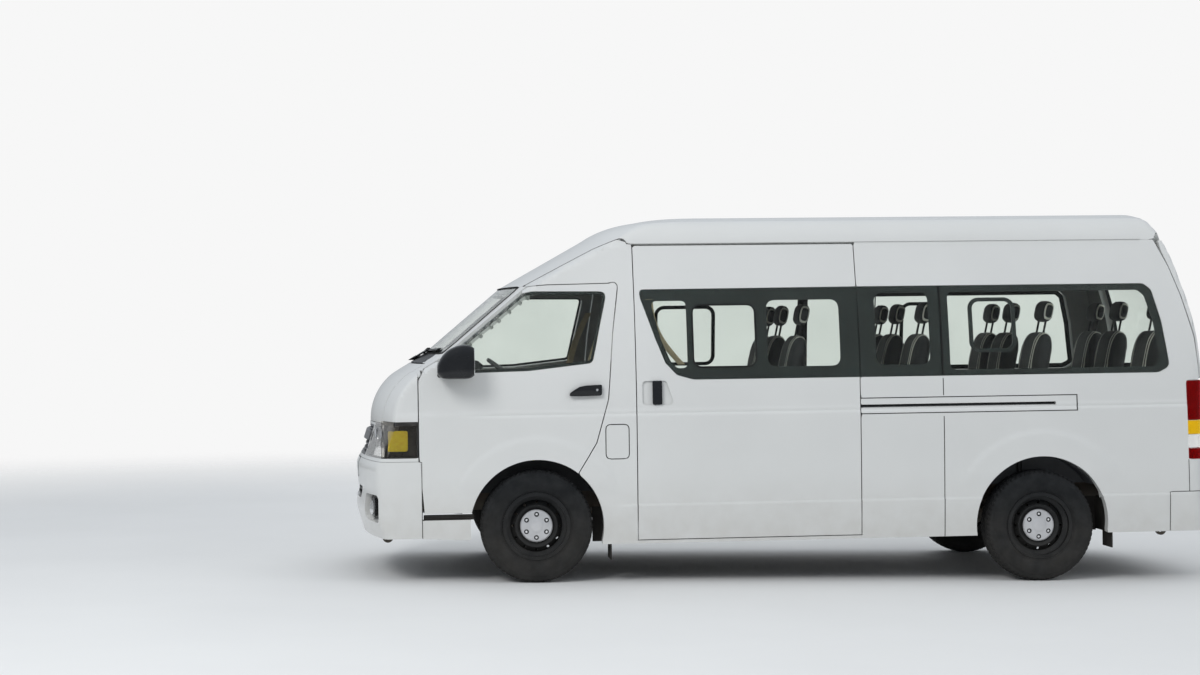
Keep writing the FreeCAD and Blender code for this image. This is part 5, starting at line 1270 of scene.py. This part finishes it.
class MINIBUS_OT_nose(bpy.types.Operator):
    """Front panel, bonnet, cowl and bumper over the angle about an upright axis and the height"""

    bl_idname = "minibus.nose"
    bl_label = "Nose"

    def execute(self, context):
        us = levels(-1.25, 1.25, 0.017)
        vs = levels(BUMPER_TOP, SCREEN_FOOT, 0.012, (BELT - 0.012, BELT + 0.012))
        bonnet = band(0.70, BELT - 0.06, COWL_FOOT)
        cowl = band(0.60, COWL_FOOT, SCREEN_FOOT)
        grille = band(0.44, BUMPER_TOP + 0.020, BELT - 0.075)
        lamp = lamp_zone(0.455, BUMPER_TOP + 0.020, BELT - 0.042, DOOR_FRONT + 0.002)
        front = nose_zone(DOOR_FRONT, BUMPER_TOP, SCREEN_FOOT)
        part = panel(nose_skin, us, vs, front, (bonnet, cowl, grille, lamp, lamp * (-1, 1)))
        piece("front_panel_skin", [part], SHELL_FINISHES, ("front_panel",))
        part = panel(nose_skin, us, vs, shrunk(bonnet, GAP))
        piece("bonnet_skin", [part], SHELL_FINISHES, ("bonnet",), "bonnet")
        part = panel(nose_skin, us, levels(COWL_FOOT, SCREEN_FOOT, 0.010), shrunk(cowl, 0.001))
        piece("cowl_skin", [part], ("black_plastic", "lining"), ("cowl",))
        foot = nose_zone(DOOR_FRONT - 0.020, BUMPER_FOOT, BUMPER_TOP - 0.002)
        vs = levels(BUMPER_FOOT, BUMPER_TOP, 0.012)
        fog = on_nose(FOG_RECESS)
        intake = on_nose(INTAKE)
        part = panel(nose_skin, us, vs, foot, (fog, fog * (-1, 1), intake))
        piece("front_bumper_skin", [part], SHELL_FINISHES, ("front_bumper",))
        floors = [pad(nose_skin, outline, -0.038, -0.044) for outline in (fog, fog * (-1, 1), intake)]
        for height in SLATS:
            slat = on_nose(block(-0.455, 0.455, height, height + 0.009))
            floors.append(pad(nose_skin, slat, -0.008, -0.040))
        piece("bumper_recesses", floors, ("black_plastic", "black_plastic"))
        for name, radius, high, low, finish in (("fog_bezels", 0.062, -0.018, -0.040, "gloss_black"),
                                                ("fog_lamps", 0.045, -0.012, -0.036, "chrome")):
            ring = on_nose(circle(*FOG_CENTRE, radius, 40))
            lamp = pad(nose_skin, ring, high, low, 0.006)
            piece(name, [lamp, mirrored(lamp)], (finish, finish))
        plate = on_nose(block(-PLATE_HALF, PLATE_HALF, PLATE_LOW, PLATE_HIGH))
        piece("front_plate", [pad(nose_skin, plate, 0.0025, 0.001, 0.02)], ("plate", "plate"))
        half = PLATE_HALF + 0.012
        holder = on_nose(block(-half, half, PLATE_LOW - 0.008, PLATE_HIGH + 0.006))
        piece("front_plate_holder", [pad(nose_skin, holder, 0.001, -0.003, 0.02)],
              ("black_plastic", "black_plastic"))
        dress(("grille",), "grille_plastic")
        dress(("front_wipers",), "black_plastic")
        return {"FINISHED"}


LENS_SPLIT = 0.930
HEADLAMP_BOWLS = ((0.545, 0.062), (0.700, 0.054))
SIGNAL = rounded(block(0.770, 0.898, 0.807, 0.930), 0.012)
BOWL_SHARES = (1.0, 1.0, 0.85, 0.65, 0.45, 0.25, 0.02)
BOWL_DROPS = (0.0, 0.004, 0.012, 0.024, 0.032, 0.037, 0.040)
TAIL_SEGMENTS = (("upper", 0.910, LAMP_TOP - 0.002, "lens_red"), ("signal", 0.822, 0.908, "lens_amber"),
                 ("reverse", 0.738, 0.820, "lens_clear"), ("lower", LAMP_FOOT + 0.002, 0.736, "lens_red"))


def lamp_zone_side(front, rear, low, high, steps=24):
    """Outline over angle and height of the side of a headlamp between two stations."""
    z = np.linspace(low, high, steps)
    return between(side_angle(np.full(steps, front), z), side_angle(np.full(steps, rear), z), z)


def tail_lamp_zone(low, high, steps=24):
    """Outline over angle and height of a left tail lamp, round the corner of the tail."""
    z = np.linspace(low, high, steps)
    near = tail_angle(np.full(steps, 0.703), z)
    station = np.interp(z, [LAMP_FOOT, LAMP_TOP], [LAMP_FOOT_FRONT, LAMP_FRONT]) - 0.003
    return between(near, np.arctan2(side_width(station, z), REAR_AXIS - station), z)


def bowl(half, height, radius, steps=32):
    """Reflector bowl behind the nose's surface: rings that shrink as they lie deeper, like a dish."""
    face = front_face(np.array([half]), np.array([height]))[0]
    share = np.array(BOWL_SHARES)[:, None]
    drop = np.array(BOWL_DROPS)[:, None]
    turn = np.linspace(0, 2 * math.pi, steps, endpoint=False)[None]
    inner = np.stack([face[0] - 0.012 - drop + 0 * turn, half + radius * share * np.cos(turn),
                      height + radius * share * np.sin(turn)], -1)
    outer = inner[::-1] - (0.003, 0, 0)
    return loft(np.concatenate([outer, inner]))


class MINIBUS_OT_lamps(bpy.types.Operator):
    """Lamps: coloured lenses over the skin, and bowls of rings that shrink the deeper they lie"""

    bl_idname = "minibus.lamps"
    bl_label = "Lamps"

    def execute(self, context):
        low, high = BUMPER_TOP + 0.021, BELT - 0.043
        clear = lamp_zone(0.457, low, high, LENS_SPLIT)
        smoke = lamp_zone_side(LENS_SPLIT - 0.001, DOOR_FRONT + 0.004, low, high)
        for name, zone, finish, nodes in (("headlamp_front_lens", clear, "lens_clear", ("headlamp_lenses",)),
                                          ("headlamp_side_lens", smoke, "lens_smoke", ())):
            lens = pad(nose_skin, zone, 0.0, -0.004, 0.012)
            piece(name, [lens, mirrored(lens)], (finish, finish), nodes)
        dress(("headlamps",), "lamp_dark")
        zone = lamp_zone(0.465, low + 0.01, high - 0.025, LENS_SPLIT + 0.01)
        back = pad(nose_skin, zone, -0.030, -0.034, 0.012)
        bowls = [bowl(half, (low + high) / 2, radius) for half, radius in HEADLAMP_BOWLS]
        piece("headlamp_reflectors", [back, mirrored(back)], ("chrome", "chrome"))
        piece("headlamp_bowls", bowls + [mirrored(part) for part in bowls], ("chrome", "chrome"))
        signal = pad(left_side, SIGNAL, -0.012, -0.028)
        piece("headlamp_signals", [signal, mirrored(signal)], ("amber", "amber"))
        for name, foot, top, finish in TAIL_SEGMENTS:
            lens = pad(tail_skin, tail_lamp_zone(foot + 0.001, top - 0.001), 0.001, -0.006, 0.012)
            piece(f"tail_lamp_{name}", [lens, mirrored(lens)], (finish, finish),
                  ("tail_lamps",) if name == "upper" else ())
        back = pad(tail_skin, tail_lamp_zone(LAMP_FOOT, LAMP_TOP), -0.018, -0.050, 0.012)
        piece("tail_lamp_reflectors", [back, mirrored(back)], ("chrome", "chrome"))
        return {"FINISHED"}


class MINIBUS_OT_roof(bpy.types.Operator):
    """Roof over station and run: the section's crown, lowered where the nose and tail surfaces cut it"""

    bl_idname = "minibus.roof"
    bl_label = "Roof"

    def execute(self, context):
        half = np.linspace(-ROOF_HALF, ROOF_HALF, 40)
        run = np.sign(half) * run_of(np.abs(half))
        seam_run = run_of(SEAM_HALF)
        front = np.stack([nose_station(half, SCREEN_TOP), run], 1)
        pillar = np.stack([CAP_EDGE[1:, 0], np.full(len(CAP_EDGE) - 1, run_of(ROOF_HALF))], 1)
        drip = np.stack([DRIP_X, run_of(DRIP_HALF)], 1)
        left = np.concatenate([pillar, drip, [(ROOF_REAR, seam_run)]])
        rear_x = TAIL_AXIS - np.sqrt(np.maximum(tail_reach(SEAM) ** 2 - half ** 2, 0))
        rear = np.stack([rear_x, run], 1)[::-1]
        outline = np.concatenate([front, left, rear, (left * (1, -1))[::-1]])
        us = levels(-TAIL, 0.2, 0.030)
        vs = levels(-seam_run - 0.3, seam_run + 0.3, 0.024)
        part = panel(roof_skin, us, vs, outline)
        piece("roof_skin", [part], SHELL_FINISHES, ("roof_panel",))
        return {"FINISHED"}


TAILGATE_HALF = 0.688
LAMP_SHOULDER = BELT + 0.138


class MINIBUS_OT_tail(bpy.types.Operator):
    """Tailgate and rear bumper over the angle about an upright axis at the back and the height"""

    bl_idname = "minibus.tail"
    bl_label = "Tail"

    def execute(self, context):
        us = levels(-1.35, 1.35, 0.020)
        z_low = np.linspace(REAR_BUMPER_TOP, LAMP_SHOULDER, 24)
        z_high = np.linspace(LAMP_SHOULDER, SEAM, 40)
        low = tail_angle(np.full(len(z_low), TAILGATE_HALF), z_low)
        seam_x = np.interp(z_high, TAIL_SEAM[::-1, 1], TAIL_SEAM[::-1, 0])
        seam_x -= np.interp(z_high, [SEAM - 0.17, SEAM - 0.07, SEAM], [0, 0.0065, 0.026])
        high = np.arctan2(side_width(seam_x, z_high), REAR_AXIS - seam_x)
        left = np.concatenate([np.stack([low, z_low], 1), np.stack([high, z_high], 1)])
        outline = np.concatenate([left, (left * (-1, 1))[::-1]])
        opening = on_tail(TAIL_WINDOW)
        vs = levels(REAR_BUMPER_TOP, SEAM, 0.018, (HIGH_CREASE,))
        recess = on_tail(rounded(block(-0.300, 0.300, BELT - 0.265, BELT - 0.120), 0.020))
        part = panel(tail_skin, us, vs, shrunk(outline, GAP), (opening, recess))
        floor = pad(tail_skin, recess, -0.012, -0.020)
        piece("tailgate_skin", [part, floor], SHELL_FINISHES, ("tailgate",), "tailgate")
        plate = on_tail(block(-PLATE_HALF, PLATE_HALF, BELT - 0.248, BELT - 0.138))
        handle = on_tail(rounded(block(-0.340, 0.340, BELT - 0.108, BELT - 0.062), 0.012))
        lamp = on_tail(rounded(block(-0.170, 0.170, SEAM - 0.112, SEAM - 0.082), 0.012))
        for name, zone, high, low, finish in (("rear_plate", plate, -0.007, -0.011, "plate"),
                                              ("tailgate_handle", handle, 0.016, -0.001, "paint"),
                                              ("high_stop_lamp", lamp, 0.008, -0.001, "lens_red")):
            piece(name, [pad(tail_skin, zone, high, low)], (finish, finish), (), "tailgate")
        dress(("rear_wiper",), "black_plastic")
        z = np.linspace(SILL, REAR_BUMPER_TOP, 20)
        half = side_width(np.full(len(z), REAR_BUMPER_FRONT), z)
        edge = np.arctan2(half, REAR_AXIS - REAR_BUMPER_FRONT)
        bumper = between(edge, -edge, z)
        part = panel(tail_skin, levels(-1.9, 1.9, 0.016), levels(SILL, REAR_BUMPER_TOP, 0.012), bumper)
        piece("rear_bumper_skin", [part], SHELL_FINISHES, ("rear_bumper",))
        return {"FINISHED"}


# Cabin

FLOOR = 0.560
FRONT_FLOOR = 0.767
SEAT_ROWS = (-1.500, -2.280, -3.060, -3.800)
SEAT_PLACES = (-0.590, -0.132, 0.560)
# Seat belts: station and height of the upper and lower end, sag, distance from the middle
BELTS = ((-0.700, 1.700, -0.900, 1.300, 0.05, 0.845), (-0.480, 1.640, -0.330, 1.240, 0.02, 0.800))
RIM_RADIUS = 0.190
RIM_THICK = 0.0135
COLUMN_TILT = math.radians(37)
RIM_PLACE = (0.075, -0.430, BELT + 0.190)
LEAN = math.radians(12)
VOXEL = 0.016
PRESSURE = 4.0
LAST_FRAME = 20


def pitch(angle):
    """Turn about the axis to the left, nose up."""
    c, t = math.cos(angle), math.sin(angle)
    return np.array([[c, 0, -t], [0, 1, 0], [t, 0, c]])


def padded_form(name, halves, squareness, cap):
    """Soft block at the origin as points and faces: a rounded block of cloth, blown up by at most a cap."""
    form = bpy.data.objects.new(name, new_mesh(name, [shell_of((0, 0, 0), halves, squareness, 24, 48)], 180))
    bpy.context.collection.objects.link(form)
    remesh = form.modifiers.new("even", "REMESH")
    remesh.mode = "VOXEL"
    remesh.voxel_size = VOXEL
    bake(form)
    start = coordinates(form.data)
    cloth = form.modifiers.new("cloth", "CLOTH")
    cloth.settings.use_pressure = True
    cloth.settings.uniform_pressure_force = PRESSURE
    cloth.settings.effector_weights.gravity = 0.0
    for frame in range(1, LAST_FRAME + 1):
        bpy.context.scene.frame_set(frame)
    bake(form)
    bpy.context.scene.frame_set(1)
    move = coordinates(form.data) - start
    far = np.linalg.norm(move, axis=1, keepdims=True)
    faces = [tuple(face.vertices) for face in form.data.polygons]
    bpy.data.objects.remove(form)
    return start + move * np.minimum(1, cap / np.maximum(far, 1e-9)), faces


def bake(form):
    """Apply the modifiers by taking the evaluated mesh."""
    shaped = bpy.data.meshes.new_from_object(form.evaluated_get(bpy.context.evaluated_depsgraph_get()))
    form.modifiers.clear()
    form.data = shaped


def coordinates(mesh):
    """Vertex places of a mesh as rows."""
    values = np.empty(len(mesh.vertices) * 3, np.float32)
    mesh.vertices.foreach_get("co", values)
    return values.reshape(-1, 3).astype(float)


def upholstery(name, form, places, nodes):
    """One padded form turned and moved to every place, its distance across kept for the cloth's stripes."""
    points, faces = form
    all_points, all_faces, across = [], [], []
    for place, lean in places:
        all_faces += [tuple(i + len(points) * len(all_points) for i in face) for face in faces]
        all_points.append(points @ pitch(lean).T + place)
        across.append(points[:, 1])
    mesh = bpy.data.meshes.new(name)
    mesh.from_pydata(tilted(np.concatenate(all_points)).tolist(), [], all_faces)
    mesh.polygons.foreach_set("use_smooth", np.ones(len(all_faces), bool))
    stripe = mesh.attributes.new("across", "FLOAT", "POINT")
    stripe.data.foreach_set("value", np.concatenate(across).astype(np.float32))
    mesh.materials.append(MATERIALS["seat_cloth"])
    made = placed(name, mesh, nodes, "root")


def leaning(x, y, top, ahead, up):
    """Place and turn of a part of a seat's back, given ahead of and above the hinge of the back."""
    c, t = math.cos(LEAN), math.sin(LEAN)
    hinge = (x, y, top - 0.04)
    return (hinge[0] + ahead * c - up * t, y, hinge[2] + ahead * t + up * c), LEAN


def seat_parts(x, y, top, half, foot):
    """Plain parts of one seat: its legs, shell and head restraint stays."""
    corners = [(x + ahead, y + side * half * 0.6) for ahead in (0.02, 0.28) for side in (-1, 1)]
    legs = [bar((*corner, foot), (*corner, top - 0.10), 0.016) for corner in corners]
    pan = shell_of((x + 0.165, y, top - 0.115), (0.235, half * 0.92, 0.022), 0.3, 10, 32)
    stays = []
    for side in (-1, 1):
        low, high = leaning(x, y, top, -0.052, 0.52)[0], leaning(x, y, top, -0.052, 0.66)[0]
        stays.append(bar((low[0], y + side * 0.07, low[2]), (high[0], y + side * 0.07, high[2]), 0.007, 8))
    return legs + [pan] + stays


class MINIBUS_OT_cabin(bpy.types.Operator):
    """Seats of blown-up cloth forms repeated over their places, sagging belts and the steering wheel"""

    bl_idname = "minibus.cabin"
    bl_label = "Cabin"

    def execute(self, context):
        dress(("dashboard", "floor_pan"), "trim_plastic")
        rows = [(x, y, FLOOR + 0.400, 0.225, FLOOR + 0.002) for x in SEAT_ROWS for y in SEAT_PLACES]
        front = [(-0.430, side * 0.574, BELT - 0.030, 0.240, FRONT_FLOOR) for side in (-1, 1)]
        cushion = padded_form("cushion_form", (0.236, 0.206, 0.050), 0.42, 0.016)
        back = padded_form("back_form", (0.046, 0.206, 0.315), 0.42, 0.016)
        head = padded_form("head_form", (0.036, 0.118, 0.066), 0.55, 0.010)
        for name, seats, node in (("passenger", rows, "passenger_seats"), ("front", front, "front_seats")):
            sit = [((x + 0.17, y, top - 0.062), 0.0) for x, y, top, *sizes in seats]
            lean = [leaning(x, y, top, -0.050, 0.27) for x, y, top, *sizes in seats]
            rest = [leaning(x, y, top, -0.050, 0.703) for x, y, top, *sizes in seats]
            upholstery(f"{name}_cushions", cushion, sit, (node,))
            upholstery(f"{name}_backs", back, lean, ())
            upholstery(f"{name}_head_rests", head, rest, ())
            parts = [part for seat in seats for part in seat_parts(*seat)]
            piece(f"{name}_seat_frames", parts, ("black_plastic",))
        self.belts()
        self.steering_wheel()
        return {"FINISHED"}

    @staticmethod
    def belts():
        """Webbing that hangs from the pillars: a flat band along half a sine that sags forwards."""
        share = np.linspace(0, 1, 30)[:, None]
        bands = []
        for x0, z0, x1, z1, sag, y in BELTS:
            for side in (-1, 1):
                middle = np.concatenate([x0 + (x1 - x0) * share + sag * np.sin(math.pi * share),
                                         side * (y - 0.03 * share), z0 + (z1 - z0) * share], 1)
                ring = np.array([(-0.022, -0.001), (0.022, -0.001), (0.022, 0.001), (-0.022, 0.001)])
                rings = middle[:, None] + np.stack([ring[:, 0], ring[:, 1], 0 * ring[:, 0]], 1)[None]
                bands.append(loft(rings))
        piece("seat_belts", bands, ("webbing",))

    @staticmethod
    def steering_wheel():
        """Rim, a circle turned about the column, with its hub and spokes."""
        turn = np.linspace(0, 2 * math.pi, 72, endpoint=False)[:, None]
        around = np.linspace(0, 2 * math.pi, 16, endpoint=False)[None]
        reach = RIM_RADIUS + RIM_THICK * np.cos(around)
        height = RIM_THICK * np.sin(around) + 0 * turn
        rim = loft(np.stack([reach * np.cos(turn), reach * np.sin(turn), height], -1), ends=False)
        parts = [rim, shell_of((0, 0, -0.008), (0.062, 0.070, 0.020), 0.6)]
        for angle in (90, -90, 180):
            c, t = math.cos(math.radians(angle)), math.sin(math.radians(angle))
            parts.append(bar((0.05 * c, 0.05 * t, -0.006), (0.188 * c, 0.188 * t, 0.0), 0.0105))
        turn = pitch(COLUMN_TILT)
        parts = [(points @ turn.T + RIM_PLACE, faces, 0) for points, faces, finish in parts]
        piece("steering_wheel_rim", parts, ("trim_plastic",), ("steering_wheel",), "steering_wheel")


# Wheels

TYRE_RADIUS = 0.340
# Sidewall from the bead to the shoulder: radius, distance from the tyre's middle
TYRE_SIDE = np.array([
    (0.1905, 0.0600), (0.2030, 0.0668), (0.2070, 0.0730), (0.2120, 0.0790), (0.2150, 0.0790),
    (0.2180, 0.0845), (0.2230, 0.0870), (0.2400, 0.0945), (0.2520, 0.0966), (0.2620, 0.0978),
    (0.2780, 0.0974), (0.2900, 0.0960), (0.3000, 0.0948), (0.3020, 0.0930), (0.3100, 0.0915),
    (0.3180, 0.0885), (0.3240, 0.0850), (0.3290, 0.0805), (0.3330, 0.0745), (0.3356, 0.0680)])
CROWN_STATION = np.linspace(0.064, -0.064, 35)
TYRE_CROWN = np.stack([TYRE_RADIUS - 0.0044 * (CROWN_STATION / 0.068) ** 4, CROWN_STATION], 1)
TYRE_LINING = np.array([
    (0.2100, -0.0600), (0.2580, -0.0880), (0.3000, -0.0820), (0.3200, -0.0600), (0.3240, 0.0),
    (0.3200, 0.0600), (0.3000, 0.0820), (0.2580, 0.0880), (0.2100, 0.0600)])
TYRE_LINE = np.concatenate([TYRE_SIDE, TYRE_CROWN, TYRE_SIDE[::-1] * (1, -1), TYRE_LINING])
TREAD_BLOCKS = 66
TREAD_GROOVES = (0.017, 0.048)
TREAD_DEPTH = 0.0078


def rising(value):
    """Smooth step from nought to one."""
    return 1 / (1 + np.exp(-value))


def tread(turn, station, radius):
    """Depth of the tread: bells over the station as grooves, and slots where a leaning wave is high."""
    away = np.abs(station)
    grooves = sum(np.exp(-((away - groove) / 0.0042) ** 4) for groove in TREAD_GROOVES)
    slots = rising(12 * (np.sin(TREAD_BLOCKS * turn + 90 * away) - 0.62))
    slots *= 0.35 + 0.65 * rising((away - 0.053) / 0.002)
    return TREAD_DEPTH * rising((radius - 0.3262) / 0.0012) * np.clip(grooves + slots, 0, 1)


# Hub cap: radius, height beyond the wheel's middle plane
CAP_LINE = np.array([(0, 0.0535), (0.030, 0.0530), (0.037, 0.0512), (0.044, 0.0490), (0.088, 0.0450),
                     (0.0945, 0.0425), (0.0990, 0.0360)])
CAP_RADIUS = 0.0985
CAP_THICK = 0.0025
CAP_OPENING = 0.0150
NUT_RADIUS = 0.0078


def cap_face(side):
    """Face of the hub cap over the wheel's two directions: plateau, shallow cone, turned-in edge."""
    def surface(u, v):
        """Points of the face at distances along and above the wheel's middle."""
        out = np.interp(np.hypot(u, v), CAP_LINE[:, 0], CAP_LINE[:, 1])
        return np.stack([u, side * (AXLE_Y + out), TYRE_RADIUS + v], -1)
    return surface


STUD_RADIUS = 0.0698
STUD_ANGLES = [k * math.pi / 3 for k in range(6)]
STUDS = [(STUD_RADIUS * math.sin(angle), STUD_RADIUS * math.cos(angle)) for angle in STUD_ANGLES]


class MINIBUS_OT_wheels(bpy.types.Operator):
    """Tyres turned from a profile, less a tread depth by angle and station, and hub caps over the nuts"""

    bl_idname = "minibus.wheels"
    bl_label = "Wheels"

    def execute(self, context):
        for axle, shift in (("front", AXLE_X), ("rear", AXLE_X - WHEELBASE)):
            for side, sign in (("left", 1), ("right", -1)):
                body = f"wheel_{axle}_{side}"
                dress((body,), "wheel_steel")
                place = (shift, 0.0, 0.0)
                tyre = turned(TYRE_LINE, (0, sign * AXLE_Y, TYRE_RADIUS), sign, TREAD_BLOCKS * 5, tread)
                self.at(place, f"tyre_{axle}_{side}_tread", [tyre], "tyre", (f"tyre_{axle}_{side}",), body)
                openings = [circle(u, v, CAP_OPENING, 24) for u, v in STUDS]
                grid = levels(-CAP_LINE[-1, 0], CAP_LINE[-1, 0], 0.004)
                cap = panel(cap_face(sign), grid, grid, circle(0, 0, CAP_RADIUS, 120), openings, CAP_THICK)
                self.at(place, f"hub_cap_{axle}_{side}", [cap], "hub_silver", (), body)
                inner, outer = sign * (AXLE_Y + 0.030), sign * (AXLE_Y + 0.0435)
                nuts = [bar((u, inner, TYRE_RADIUS + v), (u, outer, TYRE_RADIUS + v), NUT_RADIUS, 6)
                        for u, v in STUDS]
                self.at(place, f"nuts_{axle}_{side}", nuts, "chrome", (), body)
        return {"FINISHED"}

    @staticmethod
    def at(place, name, parts, finish, nodes, body):
        """Piece of a wheel moved from the front axle's middle to its place."""
        moved = [(points + place, faces, 0) for points, faces, number in parts]
        piece(name, moved, (finish,), nodes, body, level=False)


# Stage

# Studio lamps: place, target, power in watts, width
STUDIO_LAMPS = (
    ("key", (7.0, 9.0, 8.0), (0.3, 0.0, 1.0), 560.0, 4.0),
    ("fill", (-8.0, 6.0, 7.0), (-0.3, 0.0, 1.0), 150.0, 6.0),
    ("top", (0.0, 0.0, 9.0), (0.0, 0.0, 0.0), 70.0, 9.0),
    ("far", (-2.0, -9.0, 5.0), (0.0, 0.0, 1.0), 150.0, 6.0),
)
# Tones of the surroundings from straight down (0) to straight up (1)
SKY_TONES = ((0.0, (0.30, 0.30, 0.30)), (0.47, (0.34, 0.35, 0.36)), (0.53, (0.62, 0.66, 0.70)),
             (0.72, (0.86, 0.92, 1.0)), (1.0, (0.90, 0.95, 1.0)))
SKY_STRENGTH = 0.66
SEEN_TONE = 0.93
FLOOR_REACH = 40.0
CAMERA_PLACE = (2.385, 13.04, 1.48)
CAMERA_LOOK = (-0.0958, -0.9954, 0.0)
CAMERA_ROLL = math.radians(0.42)


def floor_material(tone):
    """Matt floor that fades into the pale surroundings away from the van."""
    material, nodes, links, shader = new_material("floor")
    patches = noise(nodes, links, 0.7)
    links.new(ramp(nodes, links, patches, 0.3, 0.7, tone, tuple(c * 0.97 for c in tone)),
              shader.inputs["Base Color"])
    socket(shader, "Roughness", 0.85)
    coordinates = nodes.new("ShaderNodeTexCoord")
    away = nodes.new("ShaderNodeVectorMath")
    away.operation = "LENGTH"
    links.new(coordinates.outputs["Object"], away.inputs[0])
    fade = nodes.new("ShaderNodeMapRange")
    fade.interpolation_type = "SMOOTHSTEP"
    socket(fade, "From Min", 6.0)
    socket(fade, "From Max", 14.0)
    links.new(away.outputs["Value"], fade.inputs["Value"])
    clear = nodes.new("ShaderNodeBsdfTransparent")
    join = nodes.new("ShaderNodeMixShader")
    links.new(fade.outputs["Result"], join.inputs["Fac"])
    links.new(shader.outputs[0], join.inputs[1])
    links.new(clear.outputs[0], join.inputs[2])
    links.new(join.outputs[0], nodes["Material Output"].inputs["Surface"])
    return material


def pale_surroundings(scene, seen):
    """World that is seen at one pale tone, through glass too, and lights the van softly from above."""
    world = bpy.data.worlds.new("surroundings")
    scene.world = world
    world.use_nodes = True
    nodes, links = world.node_tree.nodes, world.node_tree.links
    soft = nodes["Background"]
    pale = nodes.new("ShaderNodeBackground")
    geometry = nodes.new("ShaderNodeNewGeometry")
    parts = nodes.new("ShaderNodeSeparateXYZ")
    spread = nodes.new("ShaderNodeMapRange")
    links.new(geometry.outputs["Incoming"], parts.inputs["Vector"])
    links.new(parts.outputs["Z"], spread.inputs["Value"])
    socket(spread, "From Min", 1.0)
    socket(spread, "From Max", -1.0)
    tones = nodes.new("ShaderNodeValToRGB")
    steps = tones.color_ramp.elements
    for position, tone in SKY_TONES[1:-1]:
        steps.new(position).color = (*tone, 1)
    steps[0].color = (*SKY_TONES[0][1], 1)
    steps[-1].color = (*SKY_TONES[-1][1], 1)
    links.new(spread.outputs["Result"], tones.inputs["Fac"])
    links.new(tones.outputs["Color"], soft.inputs["Color"])
    socket(soft, "Strength", SKY_STRENGTH)
    socket(pale, "Color", (seen, seen, seen, 1))
    socket(pale, "Strength", 1.0)
    path = nodes.new("ShaderNodeLightPath")
    plain = nodes.new("ShaderNodeMath")
    plain.operation = "MAXIMUM"
    links.new(path.outputs["Is Camera Ray"], plain.inputs[0])
    links.new(path.outputs["Is Transmission Ray"], plain.inputs[1])
    join = nodes.new("ShaderNodeMixShader")
    links.new(plain.outputs[0], join.inputs["Fac"])
    links.new(soft.outputs[0], join.inputs[1])
    links.new(pale.outputs[0], join.inputs[2])
    links.new(join.outputs[0], nodes["World Output"].inputs["Surface"])


class MINIBUS_OT_stage(bpy.types.Operator):
    """Flat floor that fades with distance, square soft lights, pale surroundings and the camera"""

    bl_idname = "minibus.stage"
    bl_label = "Stage"

    def execute(self, context):
        floor = bpy.data.meshes.new("floor")
        square = [(x, y, 0) for x, y in block(-FLOOR_REACH, FLOOR_REACH, -FLOOR_REACH, FLOOR_REACH)]
        floor.from_pydata(square, [], [(0, 1, 2, 3)])
        plane = bpy.data.objects.new("floor", floor)
        context.collection.objects.link(plane)
        floor.materials.append(floor_material(tuple(settings().floor_colour)))
        plane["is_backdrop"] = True
        pale_surroundings(context.scene, SEEN_TONE)
        for name, place, target, power, width in STUDIO_LAMPS:
            data = bpy.data.lights.new(name, "AREA")
            data.energy = power
            data.size = width
            lamp = bpy.data.objects.new(name, data)
            lamp.location = place
            lamp.rotation_euler = (Vector(target) - Vector(place)).to_track_quat("-Z", "Y").to_euler()
            lamp.visible_glossy = False
            context.collection.objects.link(lamp)
            lamp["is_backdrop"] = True
        camera = bpy.data.objects.new("camera", bpy.data.cameras.new("camera"))
        camera.data.lens = settings().lens
        camera.data.clip_end = 200
        context.collection.objects.link(camera)
        camera.location = CAMERA_PLACE
        turn = Vector(CAMERA_LOOK).to_track_quat("-Z", "Y").to_matrix()
        camera.rotation_euler = (turn @ Matrix.Rotation(CAMERA_ROLL, 3, "Z")).to_euler()
        context.scene.camera = camera
        context.scene.view_settings.view_transform = "Standard"
        return {"FINISHED"}


class MINIBUS_PT_panel(bpy.types.Panel):
    """Sidebar list of the minibus's pieces"""

    bl_idname = "MINIBUS_PT_panel"
    bl_label = "Minibus"
    bl_space_type = "VIEW_3D"
    bl_region_type = "UI"
    bl_category = "Minibus"

    def draw(self, context):
        """Settings, then a button for each group of pieces."""
        for name in MINIBUS_PG_finish.__annotations__:
            self.layout.prop(context.scene.minibus, name)
        for operator in OPERATORS:
            self.layout.operator(operator.bl_idname)


OPERATORS = (
    MINIBUS_OT_materials,
    MINIBUS_OT_underside,
    MINIBUS_OT_sides,
    MINIBUS_OT_doors,
    MINIBUS_OT_seams,
    MINIBUS_OT_mirrors,
    MINIBUS_OT_windows,
    MINIBUS_OT_nose,
    MINIBUS_OT_lamps,
    MINIBUS_OT_roof,
    MINIBUS_OT_tail,
    MINIBUS_OT_cabin,
    MINIBUS_OT_wheels,
    MINIBUS_OT_stage,
)
CLASSES = (MINIBUS_PG_finish, *OPERATORS, MINIBUS_PT_panel)


def register():
    """Add the minibus's classes and its settings."""
    for item in CLASSES:
        bpy.utils.register_class(item)
    bpy.types.Scene.minibus = bpy.props.PointerProperty(type=MINIBUS_PG_finish)


def unregister():
    """Take the minibus's classes and its settings away."""
    del bpy.types.Scene.minibus
    for item in reversed(CLASSES):
        bpy.utils.unregister_class(item)


def corners():
    """The shown object's lowest and highest corner, as plain lists."""
    return [list(corner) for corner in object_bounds()]


def main():
    """Dress the loaded frame piece by piece."""
    register()
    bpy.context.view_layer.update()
    for operator in OPERATORS:
        group, name = operator.bl_idname.split(".")
        getattr(getattr(bpy.ops, group), name)()


if __name__ == "__main__":
    main()
